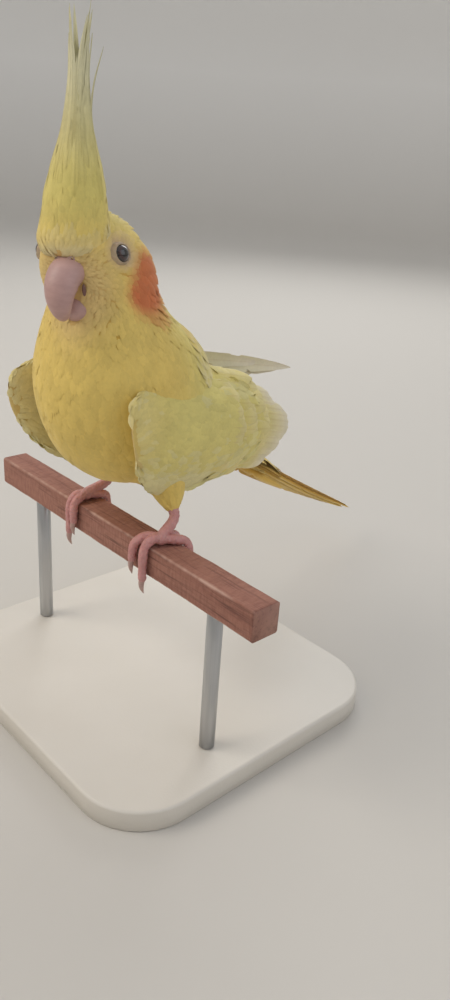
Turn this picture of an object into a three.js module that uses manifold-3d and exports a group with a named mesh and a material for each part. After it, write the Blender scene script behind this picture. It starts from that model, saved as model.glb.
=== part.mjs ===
// A life-size still model of a yellow cockatiel on a cut length of square wooden perch, held up by a flat
// base and two short rods. Millimetres, +Z up. The perch runs along X, and the bird faces -Y, turned a
// little towards +X, so its left side is at +X. The origin is the middle of the underside of the base.
import * as THREE from "three";
import { mergeVertices } from "three/addons/utils/BufferGeometryUtils.js";
import Module from "manifold-3d";

const wasm = await Module();
wasm.setup();
const rad = THREE.MathUtils.degToRad;
const lerp = THREE.MathUtils.lerp;
const vec = (x, y, z) => new THREE.Vector3(x, y, z);

// driving sizes
const gap = 0.3; // left between two pieces that touch
const perch = { side: 12, length: 164, top: 82, chamfer: 0.8 };
const base = { width: 150, depth: 136, thick: 9, corner: 26, centreY: 18, edge: 1.2 };
const rod = { radius: 3, spacing: 116, sides: 16 };
const pose = { bodyTurn: 12, headTurn: 14, headNod: 4, headTilt: -3 };

// The body as level slices from inside the head to the root of the tail: the front and back point of each
// in the YZ plane, and half its breadth. y runs back, z up from the top of the perch.
const bodySlices = [
  { front: [-27, 92], back: [3, 96.5], wide: 16 },
  { front: [-28.5, 84], back: [7, 90], wide: 18.6 },
  { front: [-31.5, 75], back: [14, 83], wide: 23.2 },
  { front: [-34.5, 65], back: [24, 76.5], wide: 27.8 },
  { front: [-35.5, 54], back: [33, 68.5], wide: 29.8 },
  { front: [-32.8, 41.5], back: [40, 59.5], wide: 29.6 },
  { front: [-25.5, 28.5], back: [45.5, 50.5], wide: 27.8 },
  { front: [-11.5, 18], back: [51.5, 41.5], wide: 24.8 },
  { front: [10, 12.6], back: [58, 33], wide: 19.8 },
  { front: [33, 10.4], back: [65, 25.5], wide: 14 },
  { front: [54, 8], back: [72, 19.5], wide: 9.8 },
  { front: [70, 5], back: [78.5, 14], wide: 7 },
];
const body = { sides: 22, steps: 18 };
const cuts = { neckTop: 0.13, neckFoot: 0.24, tailRoot: 0.9 }; // as shares of the slices

// The head in its own frame, from the face back to the nape. y runs back from the centre of the head.
const headCentre = vec(0, -13, 97);
const headStations = [
  { y: -18.8, z: 0.5, wide: 6.5, deep: 6.5 },
  { y: -16.6, z: 0.5, wide: 11.8, deep: 12.4 },
  { y: -11.5, z: 0, wide: 15.6, deep: 16.2 },
  { y: -4.5, z: -0.5, wide: 17.8, deep: 18.2 },
  { y: 3, z: -1.5, wide: 18.2, deep: 18.2 },
  { y: 10, z: -3.5, wide: 17, deep: 16.6 },
  { y: 16, z: -6, wide: 13, deep: 12.8 },
  { y: 19, z: -7.5, wide: 8, deep: 7.5 },
];
const head = { sides: 20, steps: 9 };
const cheek = { x: 13.8, y: 2, z: -8.8, radius: 7.8 };
const eye = { x: 13.6, y: -8.4, z: 5.4, radius: 2.9, lid: 0.85, rim: 1.9 }; // rim: how far out the lids lie
const cere = { y: -17.6, z: 4.6, radius: 3, spread: 3.4, nostril: 0.7 };
const upperBill = {
  hub: [-14.6, -7.4], // y and z of the point that the hook bends round
  bend: 8.6,
  from: 96,
  to: -32,
  wide: 6.2,
  deep: 4.8,
  tip: 0.5,
  sides: 14,
  steps: 9,
};
const lowerBill = { y: -14.6, z: -11.6, wide: 4.6, deep: 4.4, high: 3.8 };

// The bird's place in the part.
const birdPlace = new THREE.Matrix4()
  .makeTranslation(0, -base.centreY, perch.top)
  .multiply(new THREE.Matrix4().makeRotationZ(rad(pose.bodyTurn)));

// solids
function solidFrom(points, triangles) {
  const make = (tris) =>
    new wasm.Manifold(
      new wasm.Mesh({
        numProp: 3,
        vertProperties: new Float32Array(points.flatMap((p) => [p.x, p.y, p.z])),
        triVerts: new Uint32Array(tris.flat()),
      }),
    );
  const made = make(triangles);
  return made.volume() < 0 ? make(triangles.map(([a, b, c]) => [a, c, b])) : made;
}

// A three.js geometry, moved by an optional matrix, as a solid.
function solidOf(geometry, matrix = new THREE.Matrix4()) {
  const bare = geometry.clone().applyMatrix4(matrix);
  bare.deleteAttribute("normal");
  bare.deleteAttribute("uv");
  const merged = mergeVertices(bare, 1e-3);
  const at = merged.getAttribute("position");
  const points = Array.from({ length: at.count }, (_, i) => vec().fromBufferAttribute(at, i));
  const index = Array.from(merged.index.array);
  const triangles = Array.from({ length: index.length / 3 }, (_, i) => index.slice(3 * i, 3 * i + 3));
  return solidFrom(points, triangles);
}

const joined = (pieces) => wasm.Manifold.union(pieces);

function geometryOf(solid) {
  const { numProp, numVert, vertProperties, triVerts } = solid.getMesh();
  const at = new Float32Array(numVert * 3);
  for (let i = 0; i < numVert; i++) at.set(vertProperties.subarray(i * numProp, i * numProp + 3), 3 * i);
  const geometry = new THREE.BufferGeometry();
  geometry.setAttribute("position", new THREE.BufferAttribute(at, 3));
  geometry.setIndex(new THREE.BufferAttribute(triVerts, 1));
  return geometry;
}

// The largest closed surface of a solid: a hollow that a join sealed is filled, and scraps are dropped.
// It is taken once more after points that lie together are made one, which closes off pinched hollows.
function largest(solid) {
  const pick = (pieces) => pieces.reduce((best, piece) => (piece.volume() > best.volume() ? piece : best));
  return pick(solidOf(geometryOf(pick(solid.decompose()))).decompose());
}

// Whether a solid of the bird, set in its place, has an edge along which its surface touches itself.
function touchesItself(solid) {
  const index = mergeVertices(geometryOf(solid).applyMatrix4(birdPlace), 1e-3).index.array;
  const uses = new Map();
  for (let i = 0; i < index.length; i++) {
    const edge = [index[i], index[i % 3 === 2 ? i - 2 : i + 1]].sort((a, b) => a - b).join();
    uses.set(edge, (uses.get(edge) ?? 0) + 1);
  }
  return [...uses.values()].some((count) => count > 2);
}

// The solid that make gives for a thickness of vane, a trace thicker each time until it is sound.
function sound(make) {
  for (let n = 0; n < 20; n++) {
    const made = largest(make(1 + 0.004 * n));
    if (!touchesItself(made)) return made;
  }
  throw new Error("the surface touches itself at each thickness tried");
}

// Rings of points skinned into one closed surface, fanned to the middle of the first and last ring.
function skinned(rings) {
  const sides = rings[0].length;
  const middle = (ring) => ring.reduce((sum, p) => sum.add(p), vec(0, 0, 0)).divideScalar(sides);
  const points = [...rings.flat(), middle(rings[0]), middle(rings.at(-1))];
  const triangles = [];
  for (let i = 0; i + 1 < rings.length; i++)
    for (let k = 0; k < sides; k++) {
      const next = (k + 1) % sides;
      const [a, b] = [i * sides + k, i * sides + next];
      triangles.push([a, b, b + sides], [a, b + sides, a + sides]);
    }
  const last = (rings.length - 1) * sides;
  for (let k = 0; k < sides; k++) {
    const next = (k + 1) % sides;
    triangles.push([next, k, points.length - 2], [last + k, last + next, points.length - 1]);
  }
  return solidFrom(points, triangles);
}

// Rings pushed out along their surface's normals, with the end rings pushed out lengthwise too.
function swollen(rings, grow) {
  const last = rings.length - 1;
  return rings.map((ring, i) => {
    const [before, after] = [rings[Math.max(i - 1, 0)], rings[Math.min(i + 1, last)]];
    return ring.map((point, k) => {
      const around = ring[(k + 1) % ring.length].clone().sub(ring[(k + ring.length - 1) % ring.length]);
      const along = after[k].clone().sub(before[k]).normalize();
      const normal = vec().crossVectors(around, along).normalize();
      const outwards = point.clone().sub(ring[(k + Math.floor(ring.length / 2)) % ring.length]);
      const shift = normal.multiplyScalar(Math.sign(normal.dot(outwards)) * grow);
      if (i === 0) shift.addScaledVector(along, -grow);
      if (i === last) shift.addScaledVector(along, grow);
      return point.clone().add(shift);
    });
  });
}

const oval = (sides, centre, across, upwards) =>
  Array.from({ length: sides }, (_, k) => {
    const turn = (2 * Math.PI * k) / sides;
    return centre.clone().addScaledVector(across, Math.cos(turn)).addScaledVector(upwards, Math.sin(turn));
  });

const bodyFront = new THREE.CatmullRomCurve3(bodySlices.map(({ front }) => vec(0, ...front)));
const bodyBack = new THREE.CatmullRomCurve3(bodySlices.map(({ back }) => vec(0, ...back)));
const bodyBreadth = new THREE.CatmullRomCurve3(bodySlices.map(({ wide }) => vec(wide, 0, 0)));

// The middle of a slice of the body, and the half vector from the middle to its back.
function slice(share) {
  const [front, back] = [bodyFront.getPoint(share), bodyBack.getPoint(share)];
  return { middle: front.clone().lerp(back, 0.5), half: back.sub(front).multiplyScalar(0.5) };
}

function bodyRings({ sides, steps }) {
  return Array.from({ length: steps + 1 }, (_, i) => {
    const { middle, half } = slice(i / steps);
    return oval(sides, middle, vec(bodyBreadth.getPoint(i / steps).x, 0, 0), half);
  });
}

function headRings({ sides, steps }) {
  const middles = new THREE.CatmullRomCurve3(headStations.map(({ y, z }) => vec(0, y, z)));
  const girths = new THREE.CatmullRomCurve3(headStations.map(({ wide, deep }) => vec(wide, 0, deep)));
  return Array.from({ length: steps + 1 }, (_, i) => {
    const girth = girths.getPoint(i / steps);
    return oval(sides, middles.getPoint(i / steps), vec(girth.x, 0, 0), vec(0, 0, girth.z));
  });
}

// The rings of a round tube through a list of centres, with one radius for each.
function tubeRings(centres, radii, sides, steps) {
  const line = new THREE.CatmullRomCurve3(centres);
  const girth = new THREE.CatmullRomCurve3(radii.map((r) => vec(r, 0, 0)));
  const side = vec(1, 0, 0);
  return Array.from({ length: steps + 1 }, (_, i) => {
    const along = line.getTangent(i / steps);
    const radius = girth.getPoint(i / steps).x;
    const up = vec().crossVectors(side, along).normalize();
    const across = vec().crossVectors(along, up);
    return oval(sides, line.getPoint(i / steps), across.multiplyScalar(radius), up.multiplyScalar(radius));
  });
}

const tube = (...shape) => skinned(tubeRings(...shape));

function ball(centre, radius, across = 14, down = 9, squash = vec(1, 1, 1)) {
  const place = new THREE.Matrix4().makeTranslation(centre.x, centre.y, centre.z).scale(squash);
  return solidOf(new THREE.SphereGeometry(radius, across, down), place);
}

// A feather vane along a path: flat, thickest along its shaft, and tapered to its tip. Both faces are
// split into triangles alike. path and face give a point and the direction that the vane's face looks.
function vane({ path, face, width, thick = 0.9, steps = 4, root = 0.55, widest = 0.6, blunt = 0 }) {
  const rings = [];
  for (let i = 0; i <= steps; i++) {
    const t = i / steps;
    const centre = path(t);
    const along = path(Math.min(t + 0.02, 1)).sub(path(Math.max(t - 0.02, 0))).normalize();
    const out = face(t).clone().projectOnPlane(along).normalize();
    const across = vec().crossVectors(along, out);
    const rising = lerp(root, 1, Math.sin((Math.min(t / widest, 1) * Math.PI) / 2));
    const falling = t > widest ? Math.sqrt(Math.max(0, 1 - ((t - widest) / (1 - widest)) ** 2)) : 1;
    const half = (width / 2) * rising * lerp(falling, 1, i === steps ? blunt : blunt * 0.6);
    const depth = (thick / 2) * lerp(1, 0.65, t);
    rings.push([
      centre.clone().addScaledVector(across, -half),
      centre.clone().addScaledVector(out, depth),
      centre.clone().addScaledVector(across, half),
      centre.clone().addScaledVector(out, -depth),
    ]);
  }
  const pointed = !blunt;
  const points = pointed ? [...rings.slice(0, -1).flat(), path(1)] : rings.flat();
  const triangles = [
    [0, 1, 2],
    [0, 2, 3],
  ];
  const lastRing = pointed ? steps - 1 : steps;
  for (let i = 0; i < lastRing; i++) {
    const [l, t, r, b] = [4 * i, 4 * i + 1, 4 * i + 2, 4 * i + 3];
    triangles.push([l, l + 4, t + 4], [l, t + 4, t], [r, t, t + 4], [r, t + 4, r + 4]);
    triangles.push([r, r + 4, b + 4], [r, b + 4, b], [l, b, b + 4], [l, b + 4, l + 4]);
  }
  const end = 4 * lastRing;
  if (pointed)
    for (let k = 0; k < 4; k++) triangles.push([end + k, points.length - 1, end + ((k + 1) % 4)]);
  else triangles.push([end, end + 2, end + 1], [end, end + 3, end + 2]);
  return solidFrom(points, triangles);
}

// A straight or bent line of points as a path from 0 to 1.
function pathThrough(points) {
  const line = new THREE.CatmullRomCurve3(points);
  return (t) => line.getPoint(t);
}

// A flat slab on a slice of the body, which parts it there. It is set back by an amount along the body.
function slab(share, thick = gap, back = 0) {
  const { middle, half } = slice(share);
  const along = vec().crossVectors(half, vec(1, 0, 0)).normalize();
  const turn = new THREE.Quaternion().setFromUnitVectors(vec(0, 0, 1), along);
  const place = new THREE.Matrix4().compose(middle.addScaledVector(along, back), turn, vec(1, 1, 1));
  return solidOf(new THREE.BoxGeometry(130, 130, thick), place);
}

// head, neck and torso
const headPlace = new THREE.Matrix4()
  .makeTranslation(headCentre.x, headCentre.y, headCentre.z)
  .multiply(new THREE.Matrix4().makeRotationZ(rad(pose.headTurn)))
  .multiply(new THREE.Matrix4().makeRotationX(rad(pose.headNod)))
  .multiply(new THREE.Matrix4().makeRotationY(rad(pose.headTilt)));
const moved = (solid, matrix) => solid.transform(matrix.elements);

const torsoSkin = (grow = 0) => skinned(swollen(bodyRings(body), grow));
const headSkin = (grow = 0) => moved(skinned(swollen(headRings(head), grow)), headPlace);

function upperBillSkin(grow = 0) {
  const { hub, bend, from, to, wide, deep, tip, sides, steps } = upperBill;
  const rings = [];
  for (let i = 0; i <= steps; i++) {
    const t = i / steps;
    const angle = rad(lerp(from, to, t));
    const radius = bend * lerp(1, 1.06, t);
    const out = vec(0, -Math.cos(angle), Math.sin(angle));
    const centre = vec(0, hub[0], hub[1]).addScaledVector(out, radius);
    const narrowing = Math.sqrt(1 - 0.97 * t ** 1.7);
    const [w, d] = [lerp(tip, wide, narrowing), lerp(tip, deep, narrowing)];
    rings.push(oval(sides, centre, vec(w, 0, 0), out.multiplyScalar(d)));
  }
  return moved(skinned(swollen(rings, grow)), headPlace);
}

function lowerBillSkin(grow = 0) {
  const { y, z, wide, deep, high } = lowerBill;
  return moved(
    ball(vec(0, y, z), 1, 14, 9, vec(wide + grow, deep + grow, high + grow)),
    headPlace,
  );
}

const eyeSpot = (side) => vec(side * eye.x, eye.y, eye.z);

function cheeks() {
  return [-1, 1].map((side) =>
    moved(ball(vec(side * cheek.x, cheek.y, cheek.z), cheek.radius, 10, 7, vec(0.75, 1.15, 1)), headPlace),
  );
}

function cereSides(grow = 0) {
  return [-1, 1].map((side) => {
    const middle = vec((side * cere.spread) / 1.6, cere.y, cere.z);
    return moved(ball(middle, cere.radius + grow, 10, 6, vec(1, 0.9, 0.8)), headPlace);
  });
}

function lids(grow = 0) {
  return [-1, 1].map((side) => {
    const looks = vec(side * 0.93, -0.26, 0.26).normalize();
    const turn = new THREE.Quaternion().setFromUnitVectors(vec(0, 0, 1), looks);
    const rim = eyeSpot(side).addScaledVector(looks, eye.rim);
    const ring = new THREE.TorusGeometry(eye.radius * 0.92, eye.lid + grow, 4, 12);
    return moved(solidOf(ring, new THREE.Matrix4().compose(rim, turn, vec(1, 1, 1))), headPlace);
  });
}

function makeHeadAndBody() {
  let whole = joined([torsoSkin(), headSkin(), ...cheeks(), ...cereSides(), ...lids()]);
  for (const side of [-1, 1]) {
    whole = whole.subtract(moved(ball(eyeSpot(side), eye.radius + gap, 10, 7), headPlace));
    const middle = vec(side * cere.spread, cere.y - 2.3, cere.z + 0.6);
    const nostril = ball(middle, cere.nostril, 6, 4, vec(1, 1.6, 1));
    whole = whole.subtract(moved(nostril, headPlace));
  }
  whole = whole.subtract(upperBillSkin(gap)).subtract(lowerBillSkin(gap));
  for (const share of Object.values(cuts)) whole = whole.subtract(slab(share));
  const byHeight = whole
    .decompose()
    .filter((piece) => piece.volume() > 50)
    .sort((a, b) => b.boundingBox().max[2] - a.boundingBox().max[2]);
  const [headPiece, neckPiece, torsoPiece, tailPiece] = byHeight;
  return { headPiece, neckPiece, torsoPiece, tailPiece };
}

// crest
// Feathers in rings round a leaning axis, drawn in to it as a tall tent. They root along an oval on the
// forehead and crown.
const crest = {
  foot: vec(-1.2, -11, 7), // in the head's frame
  tip: vec(3.8, -3.2, 75),
  rings: [
    { count: 8, reach: 0.5, width: 9.6, turn: 0, share: 0.98 },
    { count: 6, reach: 0.74, width: 7.6, turn: 0.5, share: 0.8 },
    { count: 4, reach: 0.92, width: 5.6, turn: 0.2, share: 0.62 },
    { count: 3, reach: 1, width: 3.6, turn: 0.6, share: 0.8 },
  ],
  across: 12,
  along: 10,
  core: 0.7, // share of the spread that the core fills
};
// The tent's outline: its share of the foot's spread at evenly spaced heights from foot to tip.
const crestOutline = new THREE.CatmullRomCurve3(
  [1, 0.93, 0.7, 0.41, 0.27, 0.22, 0.2].map((share) => vec(share, 0, 0)),
);
const crestSpread = (height) => crestOutline.getPoint(Math.min(1, Math.max(0, height))).x;

function crestSpot(turn, height, share) {
  const axis = crest.foot.clone().lerp(crest.tip, height);
  const drawnIn = height < 0.06 ? 1 - 2.2 * (0.06 - height) : 1;
  const reach = crestSpread(height) * share * drawnIn;
  return axis.add(vec(crest.across * reach * Math.cos(turn), crest.along * reach * Math.sin(turn), 0));
}

function makeCrest(stout) {
  const sides = 8;
  const coreRings = [-0.1, 0.06, 0.2, 0.34].map((height) =>
    Array.from({ length: sides }, (_, k) => crestSpot((2 * Math.PI * k) / sides, height, crest.core)),
  );
  const pieces = [skinned(coreRings)];
  for (const ring of crest.rings)
    for (let k = 0; k < ring.count; k++) {
      const turn = (2 * Math.PI * (k + ring.turn)) / ring.count;
      const reach = ring.reach * (1 - 0.04 * ((k * 7) % 4));
      const path = (t) => crestSpot(turn, lerp(-0.1, reach, t), lerp(ring.share, 1, Math.min(1, t * 1.4)));
      const face = () => vec(Math.cos(turn), Math.sin(turn), 0.15);
      pieces.push(vane({ path, face, width: ring.width, thick: stout, steps: 3, root: 0.8, widest: 0.35 }));
    }
  const face = joined([headSkin(gap), ...cereSides(gap + 0.1), ...lids(gap + 0.1), upperBillSkin(gap)]);
  return moved(joined(pieces), headPlace).subtract(face);
}

// wings
// A folded wing in its own frame: s runs from the wrist to the tip, c across it from the lower edge to
// the back, and o out from the flank. It is shaped as the left wing and mirrored for the right.
const wingSizes = {
  left: { wrist: vec(23.5, -24.5, 52), tip: vec(20, 99, 24), long: 128 },
  right: { wrist: vec(28, -24, 51.5), tip: vec(9.6, 95, 32.6), long: 120 },
};
const wing = { camber: 27, along: 330, crown: 40, thick: 7, under: 5 };

function wingFrame({ wrist, tip, long }) {
  const along = tip.clone().sub(wrist).normalize();
  const up = vec(-0.3, 0.1, 1).projectOnPlane(along).normalize();
  const out = vec().crossVectors(along, up).normalize();
  const spot = (s, c, o) => {
    const sag = (c * c) / (2 * wing.camber) + (s - wing.crown) ** 2 / (2 * wing.along);
    return wrist
      .clone()
      .addScaledVector(along, s)
      .addScaledVector(up, c * (1 - (0.1 * Math.abs(c)) / 30))
      .addScaledVector(out, o + wing.thick - sag);
  };
  const outwards = (s, c) => out.clone().addScaledVector(up, c / wing.camber);
  return { spot, outwards, long };
}

// Half the chord of the feathered pad, and its middle, at a share of the wing's length.
const padChord = (t) => lerp(26, 15, Math.max(0, (t - 0.3) / 0.42) ** 1.4);
const padMiddle = (t) => (t < 0.24 ? lerp(0, -4.5, t / 0.24) : lerp(-4.5, -2, (t - 0.24) / 0.48));

function wingVane(frame, { s, c, o, ...shape }) {
  const between = (pair, t) => lerp(pair[0], pair[1], t);
  const path = (t) => frame.spot(between(s, t), between(c, t), between(o, t));
  const face = (t) => frame.outwards(between(s, t), between(c, t));
  return vane({ path, face, ...shape });
}

function makeWing({ wrist, tip, long }, spikes, stout) {
  const frame = wingFrame({ wrist, tip, long });
  const rings = [];
  const [sides, steps, padEnd] = [16, 9, 0.72];
  for (let i = 0; i <= steps; i++) {
    const t = padEnd * (i / steps) ** 1.5;
    const round = Math.sqrt(1 - (1 - Math.min(1, 0.01 + t / 0.24)) ** 2);
    const half = padChord(t) * round * Math.sqrt(1 - 0.997 * (i / steps) ** 7);
    const fade = 1 - (i / steps) ** 2;
    rings.push(
      Array.from({ length: sides }, (_, k) => {
        const turn = (2 * Math.PI * k) / sides;
        const rise = Math.sin(turn) > 0 ? 1.6 * fade + 0.3 : wing.under * fade + 0.5;
        return frame.spot(t * long - 2, padMiddle(t) + half * Math.cos(turn), rise * round * Math.sin(turn));
      }),
    );
  }
  const pieces = [skinned(rings)];
  const flight = 7; // cut short, from the lower edge to the back
  for (let i = 0; i < flight; i++) {
    const share = i / (flight - 1);
    const end = long * (1 - 0.32 * Math.abs(share - 0.6) ** 1.1 - 0.01 * ((i * 5) % 3));
    const chord = [lerp(-16, 13, share), lerp(-19, 11, share)];
    pieces.push(
      wingVane(frame, {
        s: [long * 0.46, end],
        c: chord,
        o: [-0.6, -1.4 + 0.1 * i],
        width: 7.4,
        blunt: 0.35,
        thick: 0.9 * stout,
        steps: 3,
      }),
    );
  }
  const tiers = [
    { count: 6, start: 0.46, end: 0.8, low: -18, high: 14, width: 9, lift: 0.2, out: 0.4 },
    { count: 5, start: 0.28, end: 0.6, low: -23, high: 17, width: 11.5, lift: 0.9, out: 2 },
    { count: 4, start: 0.12, end: 0.4, low: -22, high: 15, width: 13.5, lift: 1, out: 2.6 },
  ];
  for (const tier of tiers)
    for (let i = 0; i < tier.count; i++) {
      const share = i / (tier.count - 1);
      const chord = lerp(tier.low, tier.high, share);
      const end = long * (tier.end - 0.05 * Math.abs(2 * share - 0.9));
      pieces.push(
        wingVane(frame, {
          s: [long * tier.start, end],
          c: [chord * 0.9, chord],
          o: [tier.lift, tier.out],
          width: tier.width,
          thick: 0.9 * stout,
          steps: 2,
        }),
      );
    }
  const scapulars = 4;
  for (let i = 0; i < scapulars; i++)
    pieces.push(
      wingVane(frame, {
        s: [long * 0.14 + 7 * i, long * 0.36 + 14 * i],
        c: [18, 22 - 0.6 * i],
        o: [0.4, 4.2],
        width: 10,
        thick: 0.9 * stout,
        steps: 3,
      }),
    );
  for (const spike of spikes)
    pieces.push(
      wingVane(frame, {
        s: [long * 0.5, spike.end],
        c: spike.chord,
        o: spike.out,
        width: spike.width,
        thick: 0.9 * stout,
        steps: 4,
        widest: 0.35,
      }),
    );
  return joined(pieces);
}

const mirrored = (solid) => solid.transform(new THREE.Matrix4().makeScale(-1, 1, 1).elements);
// Long outer flight feathers of the right wing that were left whole.
const longFeathers = [
  { end: 136, chord: [8, 17.5], out: [0, 2], width: 8.5 },
  { end: 130, chord: [4, 14.5], out: [-0.6, 1], width: 8.5 },
  { end: 121, chord: [11, 16.5], out: [0.5, 2.5], width: 6.5 },
];

// tail
const tail = {
  root: vec(0, 64, 18),
  tip: vec(-1, 211, -64),
  shares: [1, 0.92, 0.8, 0.68, 0.58, 0.5], // how far each pair reaches, from the middle pair out
  width: 8,
  lean: [28, 40, 50, 56, 62, 66], // degrees that each pair leans down to its own side
  overlap: 0.35, // how much lower the left feather of a pair lies than the right
};

function makeTail(rootPiece, stout) {
  const reach = tail.tip.clone().sub(tail.root);
  const up = vec(0, 0, 1).projectOnPlane(reach.clone().normalize()).normalize();
  const pieces = [rootPiece];
  for (const [pair, share] of tail.shares.entries())
    for (const side of [-1, 1]) {
      const lean = rad(tail.lean[pair]);
      const drop = 1.2 + 1.05 * pair + (side > 0 ? tail.overlap : 0);
      const centre = vec(side * (1.7 + 0.55 * pair), 0, 0).addScaledVector(up, -drop);
      const path = (t) =>
        tail.root
          .clone()
          .addScaledVector(reach, lerp(-0.03, share, t))
          .addScaledVector(up, -2 * Math.sin(Math.PI * t * share))
          .addScaledVector(centre, lerp(1, pair ? 0.75 : 0.4, t));
      const face = () => up.clone().multiplyScalar(Math.cos(lean)).add(vec(side * Math.sin(lean), 0, 0));
      pieces.push(vane({ path, face, width: tail.width, thick: 0.7 * stout, steps: 3, widest: 0.34, root: 0.7 }));
    }
  for (const over of [1, -1])
    for (let i = -1; i < 2; i++) {
      const aside = i * 5;
      const path = pathThrough([
        vec(aside * 0.8, 62, over > 0 ? 20.5 : 10),
        vec(aside, 78, over > 0 ? 12.6 : 2.2),
        vec(aside * 0.75, 99 - 3 * Math.abs(i), (over > 0 ? 2.2 : -7.6) - 0.5 * Math.abs(i)),
      ]);
      const face = () => vec(aside * 0.09, 0.35, 1).multiplyScalar(over);
      pieces.push(vane({ path, face, width: 8.6, thick: 0.9 * stout, steps: 3, root: 0.8 }));
    }
  const behind = slab(cuts.tailRoot, 130, 65 + gap / 2);
  return joined(pieces).subtract(torsoSkin(gap).subtract(behind));
}

// legs and feet
// Feet are placed in the perch's frame, with z from the top of the perch, and turned into the bird's.
const toBird = (p) => p.clone().applyAxisAngle(vec(0, 0, 1), rad(-pose.bodyTurn));
const feet = { left: { x: 27.4, side: 1 }, right: { x: -22, side: -1 } };
const toe = { radius: 1.75, sides: 6, steps: 6 };
const claw = { long: 6.5, radius: 1.15, sides: 5, steps: 3 };

function toePaths({ x, side }) {
  const rest = toe.radius + gap; // centre of a toe above the wood
  const front = -perch.side / 2 - rest;
  const back = perch.side / 2 + rest;
  const pad = vec(x, -1, rest + 0.6);
  return {
    outer: [
      pad,
      vec(x - 0.6, -4.6, rest + 0.9),
      vec(x - 1.2, front + 0.7, 0.6),
      vec(x - 1.6, front, -6),
      vec(x - 1.6, front, -12.6),
    ],
    inner: [
      pad,
      vec(x - side * 2.5 - 1.6, -4, rest + 0.6),
      vec(x - side * 4 - 2.8, front + 0.8, 0.4),
      vec(x - side * 4.6 - 3.2, front, -3.4),
      vec(x - side * 4.8 - 3.4, front, -7),
    ],
    outerBack: [
      pad,
      vec(x + side * 2.5, 2.6, rest + 0.2),
      vec(x + side * 4.6, back - 0.9, 0.9),
      vec(x + side * 5.6, back, -4),
      vec(x + side * 5.8, back, -9),
    ],
    innerBack: [
      pad,
      vec(x - side * 1.1, 2.6, rest + 0.2),
      vec(x - side * 1.8, back - 0.9, 0.9),
      vec(x - side * 2.2, back, -3.4),
    ],
  };
}

const thighs = {
  left: [vec(15, 4, 28), vec(20, 4, 18), vec(26, 1.4, 8.6)],
  right: [vec(-13, 8, 28), vec(-16.5, 11, 17), vec(-19.4, 13.8, 6.6)],
};
const thighRadii = [11, 9, 3.4];

function thighSkin(name, grow = 0) {
  return skinned(swollen(tubeRings(thighs[name], thighRadii, 14, 5), grow));
}

function makeFoot(name) {
  const paths = toePaths(feet[name]);
  const heel = thighs[name][2];
  const pad = toBird(paths.outer[0]);
  const shank = tube([heel.clone().add(vec(0, 0.5, 3)), heel.clone(), pad], [2.1, 2, 2.3], 8, 4);
  const pieces = [shank, ball(pad, 2.5, 8, 5)];
  const claws = {};
  for (const [kind, path] of Object.entries(paths)) {
    const centres = path.map(toBird);
    const radii = centres.map((_, i) => toe.radius * lerp(1.12, 0.86, i / (centres.length - 1)));
    const rings = tubeRings(centres, radii, toe.sides, toe.steps);
    pieces.push(skinned(rings));
    const end = centres.at(-1);
    const endRadius = radii.at(-1);
    pieces.push(ball(end, endRadius, 7, 4));
    const inwards = kind.endsWith("Back") ? toBird(vec(0, -1, 0)) : toBird(vec(0, 1, 0));
    const down = path.at(-1).z < -perch.side + 3 ? 0.42 : 0.12;
    const bow = (t) => {
      const sweep = -0.5 * Math.sin(Math.PI * t) + down * 2 * t * t;
      return end.clone().add(vec(0, 0, -claw.long * t)).addScaledVector(inwards, sweep);
    };
    const girths = [1, 0.9, 0.6, 0.22].map((share) => share * claw.radius);
    const nail = tube([0, 0.35, 0.7, 1].map(bow), girths, claw.sides, claw.steps);
    const joint = ball(end, endRadius + gap + 0.05, 8, 6);
    claws[kind] = nail.subtract(joint).subtract(skinned(swollen(rings, gap)));
  }
  const wood = perchSkin(gap, true);
  const foot = largest(joined(pieces).subtract(wood).subtract(thighSkin(name, gap)));
  for (const kind of Object.keys(claws)) claws[kind] = largest(claws[kind].subtract(wood));
  return { foot, claws };
}

// perch and stand
function perchSkin(grow = 0, forBird = false) {
  const side = perch.side + 2 * grow;
  const outline = new THREE.Shape();
  const [half, cut] = [side / 2, perch.chamfer];
  const corners = [[1, 1], [-1, 1], [-1, -1], [1, -1]];
  const points = corners.flatMap(([a, b]) => {
    const first = [a * half, b * (half - cut)];
    const second = [a * (half - cut), b * half];
    return a * b > 0 ? [first, second] : [second, first];
  });
  outline.moveTo(...points[0]);
  for (const point of points.slice(1)) outline.lineTo(...point);
  outline.closePath();
  const bar = new THREE.ExtrudeGeometry(outline, { depth: perch.length, bevelEnabled: false });
  bar.translate(0, 0, -perch.length / 2).rotateY(rad(90));
  bar.translate(0, 0, -perch.side / 2);
  const turn = forBird ? new THREE.Matrix4().makeRotationZ(rad(-pose.bodyTurn)) : new THREE.Matrix4();
  return solidOf(bar, turn);
}

function makeBase() {
  const { width, depth, thick, corner, edge, centreY } = base;
  const outline = new THREE.Shape();
  const [w, d] = [width / 2 - edge, depth / 2 - edge];
  outline.absarc(w - corner, d - corner, corner, 0, Math.PI / 2);
  outline.absarc(-w + corner, d - corner, corner, Math.PI / 2, Math.PI);
  outline.absarc(-w + corner, -d + corner, corner, Math.PI, 1.5 * Math.PI);
  outline.absarc(w - corner, -d + corner, corner, 1.5 * Math.PI, 2 * Math.PI);
  outline.closePath();
  const bevel = { bevelThickness: edge, bevelSize: edge, bevelSegments: 1, bevelOffset: 0 };
  const plate = new THREE.ExtrudeGeometry(outline, { depth: thick - 2 * edge, curveSegments: 6, ...bevel });
  return solidOf(plate, new THREE.Matrix4().makeTranslation(0, centreY, edge));
}

function makeRod(x) {
  const bottom = base.thick + gap;
  const top = perch.top - perch.side - gap;
  const shaft = new THREE.CylinderGeometry(rod.radius, rod.radius, top - bottom, rod.sides);
  shaft.rotateX(rad(90)).translate(x, 0, (top + bottom) / 2);
  return solidOf(shaft);
}

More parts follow.
